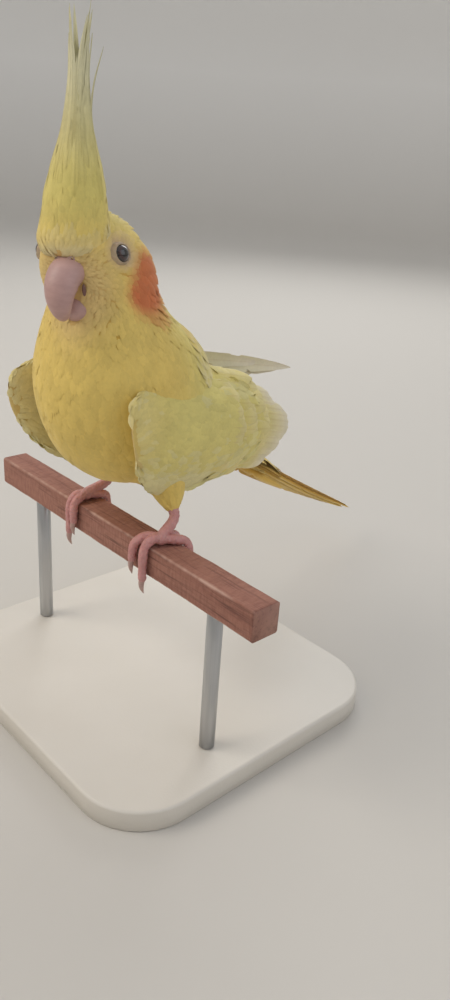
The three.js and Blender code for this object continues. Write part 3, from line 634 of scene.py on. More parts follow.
# painted shade: the gape's skin darkened to stand for the shadow in the corners of the mouth
gapeSkinPaintedShade = skinMaterial("gapeSkinPaintedShade", "#8a685f", "#6c4e46", 0.6, 0.6)
lidSkin = skinMaterial("lidSkin", "#bfab8c", "#a8917a", 0.6, 0.6)
footSkin = skinMaterial("footScales", "#dca39f", "#bb7f7c", 1.15, 0.5, 0.0004)


def hornMaterial(name, colour, deep, width, rough):
    # horn: layered keratin, satin, with faint growth lines so many millimetres wide
    material = newMaterial(name, Roughness=rough, IOR=1.54, Coat_Weight=0.12, Coat_Roughness=0.3)
    tree = material.node_tree
    lines = mottling(tree, width, stretch=(1, 1, 2.2), detail=4)
    return dressed(material, layered(tree, colour, (lines, deep)), lines, 0.00012, 0.5)


billHorn = hornMaterial("billHorn", "#c9a29b", "#b08c87", 3.2, 0.5)
clawHorn = hornMaterial("clawHorn", "#c9a69c", "#a3827a", 1.6, 0.45)


def eyeMaterial():
    # a wet cornea over a very dark brown iris, with the pupil at its middle
    material = newMaterial("wetEye", Roughness=0.08, Coat_Weight=1.0, Coat_Roughness=0.02)
    tree = material.node_tree
    colour = addNode(tree, "ValToRGB", {0: addNode(tree, "Attribute", output="Fac", attribute_name="iris")})
    stops = colour.node.color_ramp.elements
    stops.remove(stops[1])
    stops[0].color = linear("#0a0506")
    for at, shade in ((0.36, "#0c0607"), (0.42, "#3b1613"), (0.62, "#2c100f"), (0.7, "#140a0a")):
        stops.new(at).color = linear(shade)
    return dressed(material, colour)


def woodMaterial():
    # rough-sawn reddish hardwood: long pores and saw marks, paler where claws and hands have worn its edges
    material = newMaterial("roughSawnHardwood", Roughness=0.78, IOR=1.5)
    tree = material.node_tree
    grain = mottling(tree, 1.3, detail=6, stretch=(0.05, 1, 1), rough=0.65)
    bands = mottling(tree, 7, stretch=(0.12, 1, 1))
    saw = mottling(tree, 1.0, stretch=(0.9, 0.25, 0.25))
    pores = addNode(tree, "MapRange", {"Value": grain, "From Min": 0.52, "From Max": 0.68, "To Max": 0.75})
    fibres = addNode(tree, "MapRange", {"Value": saw, "From Min": 0.4, "From Max": 0.7, "To Max": 0.45})
    worn = addNode(tree, "Attribute", output="Fac", attribute_name="worn")
    colour = layered(tree, "#b88674", (bands, "#8f5c4e"), (pores, "#5f3c35"), (fibres, "#7b4d42"),
                     (worn, "#cfab9c"))
    sunk = addNode(tree, "Math", {0: grain, 1: -1.0}, operation="MULTIPLY")
    height = addNode(tree, "Math", {0: saw, 1: 0.5, 2: sunk}, operation="MULTIPLY_ADD")
    return dressed(material, colour, height, 0.0006, 0.9)


def boardMaterial():
    # satin paint over a board, with the fine orange peel that a roller leaves
    material = newMaterial("rolledSatinPaint", Roughness=0.42, IOR=1.5)
    tree = material.node_tree
    colour = layered(tree, "#e4dfd6", (mottling(tree, 40), "#d9d3c8"))
    return dressed(material, colour, mottling(tree, 0.9, detail=2), 0.00006, 0.5)


def steelMaterial():
    # drawn steel rod, brushed along its length
    material = newMaterial("brushedSteelRod", Metallic=1.0, Anisotropic=0.4)
    tree = material.node_tree
    lines = mottling(tree, 0.5, detail=4, stretch=(1, 1, 0.02))
    rough = addNode(tree, "MapRange", {"Value": lines, "To Min": 0.24, "To Max": 0.4})
    tree.links.new(rough, tree.nodes["Principled BSDF"].inputs["Roughness"])
    return dressed(material, layered(tree, "#c9cacb", (lines, "#b3b5b8")), lines, 0.00002, 0.3)


def paperMaterial():
    # matt studio paper with painted light: paler towards the top of the backdrop, where the lamps reach it
    # least
    material = newMaterial("mattStudioPaper", Roughness=0.9)
    tree = material.node_tree
    height = addNode(tree, "SeparateXYZ", {0: addNode(tree, "TexCoord", output="Object")}, "Z")
    paler = addNode(tree, "MapRange", {"Value": height, "From Min": 0.02, "From Max": 0.45})
    return dressed(material, layered(tree, "#d2cec7", (paler, "#f6f4f0")))


nostrilShade = newMaterial("nostrilShade", Base_Color=linear("#3a211c"), Roughness=0.8)
wetEye = eyeMaterial()
roughWood = woodMaterial()
boardPaint = boardMaterial()
rodSteel = steelMaterial()
studioPaper = paperMaterial()
print("materials made")

# skin and coat of head, neck, body and thighs
coatSizes = {
    "face": 2.4, "head": 5.0, "body": 10.5, "back": 12.0, "thigh": 7.0, "shank": 3.6,  # feather lengths
    "beard": {"centre": (0, -15.5, -12.5), "longer": 2.6, "edge": (6.5, 10.5)},  # loose tuft below the bill
    "spacingShare": 0.17, "spacingBase": 0.42,
    "eyeClear": 3.1,  # no feathers nearer to the middle of the eye
    "rump": 73,  # none behind this, under the tail's coverts
    "legBeside": 8, "legFront": 22,  # the thighs are outside and before these
}
billZone = {"halfWidth": 4.4, "reach": 13.2, "turn": (-35, 84), "lowerClear": 1.02}  # no feathers on the horn
browZone = {"centre": (0, -17.2, 7), "reach": (1.7, 1, 1), "edge": (2.2, 4)}
gapeZone = {"centre": (0, -15.5, -11.5), "reach": (1.15, 1, 1), "edge": (7, 11)}


def coatLength(points):
    inHead = fromHead(points)
    beard = coatSizes["beard"]
    fromBill = awayFrom(inHead, {"centre": (0, -17, -3)})
    head = between(coatSizes["face"], coatSizes["head"], smooth(fromBill, 7, 22))
    head = head + beard["longer"] * (1 - smooth(awayFrom(inHead, beard), *beard["edge"]))
    rear = between(coatSizes["body"], coatSizes["back"], smooth(points[:, 1], 0, 30))
    length = between(head, rear, smooth(np.linalg.norm(inHead, axis=1), 21, 46))
    low = smooth(26 - points[:, 2], 0, 14) * (points[:, 1] < coatSizes["legFront"])
    leg = between(coatSizes["thigh"], coatSizes["shank"], smooth(22 - points[:, 2], 0, 15))
    return between(length, leg, low * (np.abs(points[:, 0]) > coatSizes["legBeside"]))


def coatSpacing(points):
    return coatSizes["spacingShare"] * coatLength(points) + coatSizes["spacingBase"]


def cereAway(inHead):
    # 1 over the bill's root, falling to 0 a little way up the forehead
    return 1 - smooth(awayFrom(inHead, browZone), *browZone["edge"])


def steerBody(points, lie):
    # the forehead's feathers sweep up into the crest, those over the cere and round the gape forwards
    inHead = fromHead(points)
    brow = smooth(inHead[:, 2], 3.5, 9) * (1 - smooth(inHead[:, 1], -8, 0))
    brow *= np.linalg.norm(inHead, axis=1) < 26
    gape = 1 - smooth(awayFrom(inHead, gapeZone), *gapeZone["edge"])
    side = np.sign(inHead[:, 0])
    ones = np.ones(len(side))
    forwards = turned(np.stack([-0.35 * side, -ones, -0.35 * ones], 1), headPlace)
    upwards = turned([[0.05, 0.35, 1]], headPlace)
    over = turned([[0, -1, -0.75]], headPlace)
    return (lie + upwards * (brow * 4)[:, None] + forwards * (gape * 3.2)[:, None]
            + over * (9 * cereAway(inHead))[:, None])


def outsideBill(points):
    # clear of the horn, of the eyes and of what the crest and the tail's coverts cover
    inHead = fromHead(points)
    up, forward = inHead[:, 2] - billForm["hub"][1], billForm["hub"][0] - inHead[:, 1]
    turn = np.degrees(np.arctan2(up, forward))
    bill = (np.abs(inHead[:, 0]) < billZone["halfWidth"]) & (np.hypot(forward, up) < billZone["reach"])
    bill &= (turn > billZone["turn"][0]) & (turn < billZone["turn"][1])
    lower = {"centre": billForm["lower"], "reach": billForm["lowerSize"]}
    bill |= awayFrom(inHead, lower) < billZone["lowerClear"]
    bill |= awayFrom(mirrored(inHead), {"centre": gapeForm["centre"]}) < gapeForm["clear"]
    eyes = awayFrom(mirrored(inHead), {"centre": eyeForm["centre"]}) > coatSizes["eyeClear"]
    return eyes & ~bill & (points[:, 1] <= coatSizes["rump"])


def setMarks(piece, marks):
    # the coat's markings on the skin below it
    layer = piece.data.attributes.new("marks", "FLOAT_COLOR", "POINT")
    layer.data.foreach_set("color", np.hstack([marks, np.ones((len(marks), 1))]).astype(np.float32).ravel())
    layer = piece.data.attributes.new("feather", "FLOAT_COLOR", "POINT")
    layer.data.foreach_set("color", np.tile(np.array([0.5, 0.5, 0.3, 1.0], np.float32), len(marks)))


skinMesh = makeSkinMesh()
body = coatedSurface(skinMesh, bodySamples(), steerBody)
skin = newPiece("bodySkin", skinMesh, skinUnder,
                ("head", "neck", "torso", "leg_left", "leg_right"))
setMarks(skin, markingsAt(body["points"]))
print("skin", len(body["points"]), "points")


def valueAt(value, points):
    # a value that is the same all over or is worked out from the place
    return value(points) if callable(value) else np.full(len(points), value)


sparse = 1.0


def growCoat(surface, prefix, group, spacing, length, keep, material, widthShare=0.46, standing=0.04,
             lift=0.028, marksOf=markingsAt, stray=0.07):
    # feathers rooted all over a part of a surface: one piece for each name that group gives
    faces, spots = scatterRoots(surface, lambda p: valueAt(spacing, p) * sparse, keep)
    lengths = valueAt(length, spots) * draw.uniform(0.82, 1.18, len(spots))
    stand = draw.uniform(0.3, 1.6, len(spots)) * valueAt(standing, spots)
    paths, normals = midlines(surface, faces, spots, lengths, 0.06 + lift * lengths, stand, stray)
    widths = lengths * widthShare * draw.uniform(0.85, 1.15, len(spots))
    tone = draw.uniform(0, 1, len(spots))
    rootMarks = marksOf(spots + draw.normal(0, 0.5, spots.shape))
    names = valueAt(group, spots)
    for name in sorted(set(names)):
        own = np.nonzero(names == name)[0]
        points, triangles, along, across, owner, shading = plateFeathers(paths[own], normals[own], widths[own])
        marks = np.clip(0.5 * rootMarks[own][owner] + 0.5 * marksOf(points), 0, 1)
        feather = np.stack([along, tone[own][owner], np.abs(across)], 1)
        place = surface["places"][faces[own]][owner]
        bakeUv = place + np.stack([across * 0.0015, (along - 0.5) * 0.003], 1)
        pieceFromArrays(prefix + name, points, triangles, {"marks": marks, "feather": feather},
                        bakeUv[triangles.ravel()], shading, material)


def bodyGroups(spots):
    x, y, z = spots.T
    side = np.where(x > 0, "Left", "Right")
    rear = np.where(y + 0.4 * z > 34, "Back", "Breast")
    names = np.where(np.linalg.norm(fromHead(spots), axis=1) < 22, "Head", np.where(z > 66, "Neck", rear))
    thigh = (z < 17) & (y < coatSizes["legFront"]) & (np.abs(x) > coatSizes["legBeside"])
    return np.where(thigh, "Thighs", np.char.add(names, side))


growCoat(body, "coat", bodyGroups, coatSpacing, coatLength, outsideBill, softPlumage,
         standing=0.022, lift=0.024)
growCoat(body, "brow", "Bristles", 0.7, 3.2, lambda p: cereAway(fromHead(p)) > 0.3, softPlumage,
         widthShare=0.3, standing=0.1, stray=0.04)
print("coat grown")


def vaneSet(feathers, ringEvery):
    # large feathers, each a thin vane of its own: a raised shaft, barbs slanting forward to notched edges
    places = np.array([-1, -0.62, -0.3, -0.07, 0, 0.07, 0.3, 0.62, 1, 0.6, 0, -0.6])  # top, then below
    ridge = np.array([0, 0.55, 0.8, 0.9, 1.35, 0.9, 0.8, 0.55, 0, -0.25, -0.3, -0.25])
    sides, count, found = len(places), 0, []
    for number, feather in enumerate(feathers):
        ends = feather["path"]
        long = float(np.linalg.norm(ends[-1] - ends[0]))
        steps = max(8, int(long / ringEvery))
        t = np.linspace(0, 1, steps)
        path = np.array([curvePoint(ends, x) for x in t])
        ups = unit(np.array([curvePoint(feather["face"], x) for x in t]))
        along = unit(np.gradient(path, axis=0))
        side = unit(np.cross(along, ups))
        ups = np.cross(side, along)
        widest, blunt, root = feather.get("widest", 0.6), feather.get("blunt", 0.0), feather.get("root", 0.5)
        rise = root + (1 - root) * smooth(t, 0, widest * 0.9)
        over = np.clip((t - widest) / (1 - widest), 0, 1)
        fall = (1 - over ** between(1.7, 3.4, blunt)) ** between(0.75, 0.5, blunt)
        half = feather["width"] / 2 * rise * fall
        lean = feather.get("lean", 1.0)
        edges = half * lean, half * (2 - lean)
        for edge in edges:
            edge *= 1 + 0.035 * np.sin(t * draw.uniform(9, 16) + draw.uniform(0, 6))
            for _ in range(draw.poisson(feather.get("splits", 1.0))):
                at, deep, wide = (draw.uniform(*span) for span in ((0.3, 0.92), (0.12, 0.42), (0.7, 1.3)))
                edge *= 1 - deep * np.exp(-((t - at) * long / wide) ** 2)
        offset = places * np.where(places < 0, edges[0][:, None], edges[1][:, None])
        thick = feather.get("thick", 0.5) * np.sqrt(np.clip(1.02 - t ** 4, 0, 1))[:, None]
        lift = ridge * thick - feather.get("cup", 0.16) * offset ** 2 / feather["width"] * 2
        waves = np.sin(t[:, None] * long * 0.5 + places * 2 + number)
        lift += feather.get("ruffle", 0.12) * np.abs(places) * waves
        forward = 0.55 * np.abs(offset) * (1 - smooth(t, 0.93, 1))[:, None]
        points = (path[:, None] + side[:, None] * offset[..., None] + ups[:, None] * lift[..., None]
                  + along[:, None] * forward[..., None]).reshape(-1, 3)
        upper = unit(ups[:, None] + side[:, None] * (places * 0.4)[:, None]).reshape(-1, 3)
        i, k = np.arange(steps - 1)[:, None] * sides, np.arange(sides)
        n = (k + 1) % sides
        a, b, c, d = i + k, i + n, i + sides + n, i + sides + k
        walls = [np.stack(corners, -1).reshape(-1, 3) for corners in ((a, b, c), (a, c, d))]
        fan = np.array([[0, x, x + 1] for x in range(1, sides - 1)])
        faces = np.concatenate([*walls, fan[:, [0, 2, 1]], fan + (steps - 1) * sides])
        found.append((points, faces + count, np.repeat(t, sides), np.tile(places, steps),
                      np.full(len(points), number), upper))
        count += len(points)
    return [np.concatenate(each) for each in zip(*found)]


def vanePiece(name, feathers, material, region, replaces=(), mirror=False, ringEvery=1.6,
              marksOf=flatMarks(0, 0, 0.8)):
    # region: the corner and size of this set's part of the baked map, where every vane gets a strip
    points, faces, along, across, owner, upper = vaneSet(feathers, ringEvery * (1))
    if mirror:
        points, upper = points * (-1, 1, 1), upper * (-1, 1, 1)
        faces = faces[:, ::-1]
    tone = draw.uniform(0, 1, len(feathers))
    marks = marksOf(points)
    feather = np.stack([along, tone[owner], np.abs(across)], 1)
    left, low, wide, high = region
    strip = wide / len(feathers)
    bakeUv = np.stack([left + (owner + 0.5 + 0.42 * across) * strip, low + along * high], 1)
    pieceFromArrays(name, points, faces, {"marks": marks, "feather": feather}, bakeUv[faces.ravel()],
                    cornerShading(points, faces, upper), material, replaces)


# crest
crestForm = {
    "foot": (-1.2, -11, 7), "tip": (3.8, -3.2, 75),
    "outline": [1, 0.93, 0.7, 0.41, 0.27, 0.22, 0.2],
    "across": 12, "along": 10,
    "plumes": 90, "width": 3.0, "thick": 0.35,
    "massTop": 0.74, "massShare": 0.93,  # the mass inside ends at this height
    "sunk": [(0.35, -0.035), (0.78, -0.03), (1.0, -0.012)],  # its closed bottom, inside the head
    "narrowing": [(0.12, 0.03, 0.16), (0.45, 0.32, 0.6), (0.35, 0.62, 0.74)],  # how much and where
    "coatSpacing": (1.25, 2.4), "coatLength": (6.5, 15), "coatTop": 42.4,
    "parting": (0.94, 0.34, 0), "tipsApart": 5.2,  # the longest plumes lean to two tips
    "wisp": [(0.42, -0.6), (0.55, 0), (0.68, 1.6), (0.82, 4.6)],  # a stray plume: heights, how far out
}


def crestSpot(turn, height, share):
    foot, tip = np.array(crestForm["foot"], float), np.array(crestForm["tip"], float)
    spread = curvePoint([(r, 0, 0) for r in crestForm["outline"]], height)[0]
    spread *= share * (1 - 2.2 * (0.06 - height) if height < 0.06 else 1)
    return between(foot, tip, height) + (
        crestForm["across"] * spread * math.cos(turn), crestForm["along"] * spread * math.sin(turn), 0)


def crestFeathers():
    # long narrow plumes that stand out of the crest's soft foot and part into a few points
    found = []
    count = crestForm["plumes"]
    parting = unit(np.array(crestForm["parting"], float))
    for i in range(count):
        turn = 2.399963 * i
        share = 0.96 if i < count * 0.6 else draw.uniform(0.2, 0.8)
        low = draw.uniform(0.1, 0.4)
        high = min(0.9, low + draw.uniform(0.25, 0.5))
        if i % 4 == 0:
            high = draw.uniform(0.86, 1.0)
        heights = np.linspace(low, high, 5)
        path = [crestSpot(turn, h, share * (0.86 if h == low else 1)) for h in heights]
        outward = np.array((math.cos(turn), math.sin(turn), 0.15))
        path[-1] = path[-1] + outward * draw.uniform(-0.3, 0.8)
        if i % 4 == 0:
            lean = float(outward @ parting)
            for k, part in ((3, 0.3), (4, 1)):
                aside = crestForm["tipsApart"] / 2 * draw.uniform(0.85, 1.1) - abs(lean) * share * 2.4
                path[k] = path[k] + parting * (part * aside * (1 if lean > 0 else -1))
        path = moved(path, headPlace)
        face = turned(np.tile(outward, (5, 1)), headPlace)
        width = crestForm["width"] * draw.uniform(0.75, 1.25) * (1.15 if high < 0.7 else 0.7)
        found.append({"path": path, "face": face, "width": width, "thick": crestForm["thick"], "widest": 0.3,
                      "root": 0.5, "splits": 2.2, "cup": 0.3, "blunt": 0.0, "ruffle": 0.08})
    wisp = [crestSpot(0.36, h, 0.95) + parting * out for h, out in crestForm["wisp"]]
    found.append({"path": moved(wisp, headPlace), "face": turned(np.tile(parting, (len(wisp), 1)), headPlace),
                  "width": 0.9, "thick": 0.3, "widest": 0.4, "splits": 0, "blunt": 0.0, "ruffle": 0})
    return found


vanePiece("crestPlumes", crestFeathers(), crestPlumage, (1.02, 0.0, 0.3, 0.3), ("crest",),
          marksOf=markingsAt)


def massRing(height, share):
    depth = (0, 0, min(height, 0) * 70)
    return moved([crestSpot(turn, max(height, 0), share) + depth for turn in turnsOf(40)], headPlace)


def massShare(height):
    share = 1.12
    for less, low, high in crestForm["narrowing"]:
        share -= less * float(smooth(height, low, high))
    return crestForm["massShare"] * share


def crestHeight(points):
    return fromHead(points)[:, 2]


rings = [massRing(height, share) for share, height in crestForm["sunk"]]
rings += [massRing(height, massShare(height)) for height in np.linspace(0.01, crestForm["massTop"], 50)]
crestMesh = loftedMesh(rings)
crestSurface = coatedSurface(crestMesh, ringSamples(rings, (1.02, 0.33, 0.3, 0.3)))
growCoat(crestSurface, "crest", "Foot",
         lambda p: between(*crestForm["coatSpacing"], smooth(crestHeight(p), 8, 45)),
         lambda p: between(*crestForm["coatLength"], smooth(crestHeight(p), 5, 40)),
         lambda p: crestHeight(p) < crestForm["coatTop"], crestPlumage, widthShare=0.3,
         standing=0.018, lift=0.02)
core = newPiece("crestCore", crestMesh, skinUnder)
setMarks(core, markingsAt(crestSurface["points"]))

# feathers that fill the hollow behind the crest, and those over the ear
crownForm = {
    "centre": (3, -2, 16), "reach": (14, 15, 9), "spacing": 1.15, "length": 8, "wide": 0.32, "stray": 0.04,
    "stand": (0.15, 0.04), "highTo": 0.35,
}
earForm = {
    "centre": (15, 7, -5), "reach": (10, 11, 13), "spacing": 1.3, "length": 7, "wide": 0.46, "stray": 0.05,
    "stand": (0.17, 0.05), "highTo": 0.2,
}


def growRaised(prefix, group, form):
    # they stand off the head most at the middle of the zone
    def away(points):
        return awayFrom(fromHead(points), form)

    growCoat(body, prefix, group, form["spacing"], form["length"], lambda p: away(p) < 1, softPlumage,
             form["wide"], lambda p: between(*form["stand"], smooth(away(p), form["highTo"], 1)),
             stray=form["stray"])


growRaised("crown", "Rear", crownForm)
growRaised("ear", "Coverts", earForm)
print("crest grown")

# wings: s runs along the wing from the wrist, c up across it and o out from its curved face
wingForm = {
    "left": {"wrist": (23.5, -24.5, 52), "tip": (20, 99, 24), "long": 128},
    "right": {"wrist": (28, -24, 51.5), "tip": (9.6, 95, 32.6), "long": 120},
    "camber": 27, "along": 330, "crown": 40,  # bends across and along, and where the wing stands out most
    "thick": 7, "over": 1.6, "under": 5, "padEnd": 0.72, "inset": 0.9,
    "coatSpacing": (1.25, 2.2), "coatLength": (5.5, 11.5),
    "coatEnd": (0.58, 0.42),  # where it ends on the inner and the outer side, as shares of the length
}
flightForm = {
    "count": 13, "roots": 0.44, "fromChord": (-17, 13), "toChord": (-19.5, 11), "shape": {
        "width": 7.8, "blunt": 0.4, "thick": 0.36, "splits": 1.5, "widest": 0.7, "lean": 0.8, "cup": 0.07,
        "ruffle": 0.04},
}
covertForm = {
    # rows: how many, start and end as shares of the wing, lowest and highest, width, root and tip outwards
    "rows": [
        (15, 0.42, 0.74, -19.5, 15, 7.4, -0.1, 0.05),
        (15, 0.36, 0.63, -22, 17, 7.6, 0.3, 0.45),
        (14, 0.30, 0.53, -23, 18, 7.8, 0.5, 0.8),
    ],
    "shape": {"blunt": 0.3, "thick": 0.2, "splits": 1.2, "ruffle": 0.02, "cup": 0.04},
    "scapulars": 8,
    "scapularShape": {"width": 8, "thick": 0.25, "splits": 3.0, "blunt": 0.1, "ruffle": 0.05, "cup": 0.08},
}
longForm = {
    # the far wing's long feathers that stick out behind: end, chord at root and tip, o at both, width
    "feathers": [(136, (8, 17.5), (0, 2), 9), (130, (4, 14.5), (-0.6, 1), 8.6),
                 (121, (11, 16.5), (0.5, 2.5), 7), (126, (6, 16), (-0.3, 1.6), 8)],
    "tilt": 0.95, "shape": {"thick": 0.5, "widest": 0.4, "splits": 1.5, "ruffle": 0.05},
}


def wingAxes(form):
    along = unit(np.array(form["tip"], float) - form["wrist"])
    up = np.array((-0.3, 0.1, 1.0))
    up = unit(up - along * (up @ along))
    return along, up, unit(np.cross(along, up))


def wingSag(s, c):
    return c * c / (2 * wingForm["camber"]) + (s - wingForm["crown"]) ** 2 / (2 * wingForm["along"])


def wingFrame(form):
    along, up, out = wingAxes(form)

    def spot(s, c, o):
        narrowed = c * (1 - 0.1 * abs(c) / 30)
        return form["wrist"] + along * s + up * narrowed + out * (o + wingForm["thick"] - wingSag(s, c))

    def feather(s, c, o, shape):
        # s, c and o each from root to tip
        shares = np.linspace(0, 1, 6)
        path = np.array([spot(between(*s, x), between(*c, x), between(*o, x)) for x in shares])
        face = np.array([out + up * between(*c, x) / wingForm["camber"] for x in shares])
        return {"path": path, "face": face, **shape}

    return spot, feather


def padRings(form, spot, inset, sides, steps):
    # the wing's flesh: thick at the rounded front, thin and narrow at the end
    rings = []
    for x in np.linspace(0, 1, steps + 1):
        t = wingForm["padEnd"] * x ** 1.5
        rounding = math.sqrt(1 - (1 - min(1, 0.01 + t / 0.24)) ** 2)
        chord = between(26, 15, max(0, (t - 0.3) / 0.42) ** 1.4)
        middle = between(0, -4.5, t / 0.24) if t < 0.24 else between(-4.5, -2, (t - 0.24) / 0.48)
        half = max(0.4, chord * rounding * math.sqrt(1 - 0.997 * x ** 7) - inset)
        fade = 1 - x * x
        shoulder = 1 - 0.42 * (1 - float(smooth(t, 0.03, 0.2)))
        ring = []
        for turn in 2 * math.pi * np.arange(sides) / sides:
            across, outer = math.cos(turn), math.sin(turn)
            rise = wingForm["over"] * fade + 0.3 if outer > 0 else wingForm["under"] * fade + 0.5
            rise = max(0.15, rise - inset * 0.7)
            c = middle + half * across * (shoulder if across > 0 else 1)
            ring.append(spot(t * form["long"] - 2 + inset * (1 - x), c, rise * rounding * outer))
        rings.append(ring)
    return rings


def flightFeathers(feather, long):
    found = []
    for i in range(flightForm["count"]):
        share = i / (flightForm["count"] - 1)
        shorter = 0.32 * abs(share - 0.6) ** 1.1 + 0.012 * ((i * 5) % 3) + 0.09 * smooth(share, 0.6, 0.9)
        lengthwise = long * flightForm["roots"], long * (1 - shorter)
        chord = between(*flightForm["fromChord"], share), between(*flightForm["toChord"], share)
        found.append(feather(lengthwise, chord, (-0.6, -1.1 + 0.04 * i), flightForm["shape"]))
    return found


def wingCoverts(feather, long):
    # rows from the lower edge to the back over the flight feathers' roots, then the loose scapulars on top
    found = []
    for number, start, end, low, high, width, lift, out in covertForm["rows"]:
        for i in range(number):
            share = (i + draw.uniform(-0.15, 0.15)) / (number - 1)
            chord = between(low, high, share)
            reach = long * (end - 0.05 * abs(2 * share - 0.9)) + draw.uniform(-1.2, 1.2)
            outwards = lift, out + draw.uniform(-0.1, 0.2)
            found.append(feather((long * start, reach), (chord * 0.9, chord), outwards,
                                 {"width": width, **covertForm["shape"]}))
    for i in range(covertForm["scapulars"]):
        lengthwise, chord = (long * 0.14 + 3.5 * i, long * 0.36 + 5.75 * i), (17 + i % 2, 19.6 - 0.3 * i)
        found.append(feather(lengthwise, chord, (0.6, 1.3), covertForm["scapularShape"]))
    return found


def longFeathers(feather, form):
    found = []
    for end, chord, out, width in longForm["feathers"]:
        one = feather((form["long"] * 0.5, end), chord, out, {"width": width, **longForm["shape"]})
        found.append({**one, "face": one["face"] - wingAxes(form)[1] * longForm["tilt"]})
    return found


def makeWing(name, n):
    # n is 0 for the left wing and 1 for the right, which is worked out as a left one and mirrored
    form, mirror = wingForm[name], n == 1
    flip = np.array((-1 if mirror else 1, 1, 1))
    spot, feather = wingFrame(form)
    flight, coverts = flightFeathers(feather, form["long"]), wingCoverts(feather, form["long"])
    if mirror:
        # painted light: these feathers' cream is partly their own and partly made paler to stand for light
        # shining through them from behind
        vanePiece(name + "LongFeathers", longFeathers(feather, form), flightPlumage,
                  (1.02, 0.65, 0.3, 0.3), mirror=True, ringEvery=1.2, marksOf=flatMarks(0, 0.75, 0.6))
    vanePiece(name + "FlightFeathers", flight, flightPlumage,
              (1.02 + 0.5 * n, 0.32, 0.22, 0.3), (f"wing_{name}",), mirror=mirror, ringEvery=1.2)
    vanePiece(name + "Coverts", coverts, wingPlumage, (1.26 + 0.5 * n, 0.32, 0.22, 0.3),
              mirror=mirror, ringEvery=1.2)
    rings = np.array(padRings(form, spot, wingForm["inset"], 40, 34)) * flip
    pad = loftedMesh(rings)
    lengthwise, crosswise, outside = wingAxes(form)

    def padPlace(points):
        # along the wing, up from its middle line, and out from the middle of the pad
        local = points * flip - form["wrist"]
        s, c = local @ lengthwise, local @ crosswise
        return s, c, local @ outside - wingForm["thick"] + wingSag(s, c)

    def steerWing(points, lie):
        # at the front edge the small coverts turn over it from below
        front = 1 - smooth(padPlace(points)[0], 1, 9)
        return lie + (crosswise * 1.3 + outside * 0.8 + lengthwise * 0.5) * flip * front[:, None]

    def wingMarks(points):
        # paler at the front edge; all over the inner side the pallor is partly the underwing's own pale yellow
        # and partly painted light, brightening a side left in shade
        s, c, out = padPlace(points)
        green = 0.5 + 0.4 * smooth(s + 0.5 * np.abs(c), 2, 26)
        cream = np.where(out > 0, 0.17 - 0.12 * smooth(s, 0, 14), 0.42)
        return np.stack([np.zeros(len(s)), cream, green], 1)

    surface = coatedSurface(pad, ringSamples(rings, (0.02 + 0.5 * n, 1.02, 0.45, 0.4)), steerWing)
    growCoat(surface, name + "Wing", lambda p: np.where(padPlace(p)[2] > 0, "Outer", "Inner"),
             lambda p: between(*wingForm["coatSpacing"], smooth(padPlace(p)[0], 0, 40)),
             lambda p: between(*wingForm["coatLength"], smooth(padPlace(p)[0], 0, 45)),
             lambda p: padPlace(p)[0] < np.where(padPlace(p)[2] < 0, *wingForm["coatEnd"]) * form["long"],
             wingSoftPlumage, marksOf=wingMarks, standing=0.02)
    flesh = newPiece(name + "WingFlesh", pad, skinUnder)
    setMarks(flesh, wingMarks(surface["points"]))


makeWing("left", 0)
makeWing("right", 1)
print("wings grown")

# raised feathers of the mantle, that fill the back between the wings and end in loose pale tips
mantleForm = {
    "low": 44, "high": 78, "behind": 10, "slope": 0.6, "rear": 52,  # where they grow
    "spacing": 1.9, "length": 9.5, "stand": 0.07,
    "pale": 0.12, "green": 0.8,
}


def onMantle(points):
    y, z = points[:, 1], points[:, 2]
    rear = (y > mantleForm["behind"]) & (y + mantleForm["slope"] * z > mantleForm["rear"])
    return rear & (z > mantleForm["low"]) & (z < mantleForm["high"])


def mantleMarks(points):
    # its green and pallor end at the neck
    z = points[:, 2]
    pale, green = mantleForm["pale"] * (1 - smooth(z, 62, 74)), mantleForm["green"] * (1 - smooth(z, 66, 78))
    return np.stack([np.zeros(len(z)), pale, green], 1)


growCoat(body, "mantle", "Raised", mantleForm["spacing"], mantleForm["length"], onMantle, wingPlumage,
         standing=mantleForm["stand"], marksOf=mantleMarks)

# tail
tailForm = {
    "root": (0, 64, 18), "tip": (-1, 211, -64),
    "shares": [1, 0.92, 0.8, 0.68, 0.58, 0.5],
    "lean": [28, 40, 50, 56, 62, 66],
    "overlap": 0.35,
    "shape": {"width": 8, "thick": 0.5, "widest": 0.42, "root": 0.7, "splits": 3.0, "blunt": 0.3,
              "ruffle": 0.05},
}


def tailFeathers():
    root, tip = np.array(tailForm["root"], float), np.array(tailForm["tip"], float)
    reach = tip - root
    line = unit(reach)
    up = np.array((0, 0, 1.0))
    up = unit(up - line * (up @ line))
    found = []
    for pair, share in enumerate(tailForm["shares"]):
        for side in (-1, 1):
            lean = math.radians(tailForm["lean"][pair])
            drop = 1.2 + 1.05 * pair + (tailForm["overlap"] if side > 0 else 0)
            centre = np.array((side * (1.7 + 0.55 * pair), 0, 0)) - up * drop
            shares = np.linspace(0, 1, 7)
            path = np.array([root + reach * between(-0.03, share, t) - up * 2 * math.sin(math.pi * t * share)
                             + centre * between(1, 0.75 if pair else 0.4, t) for t in shares])
            face = np.tile(up * math.cos(lean) + np.array((side * math.sin(lean), 0, 0)), (7, 1))
            found.append({"path": path, "face": face, "lean": 1 + 0.25 * side, **tailForm["shape"]})
    return found


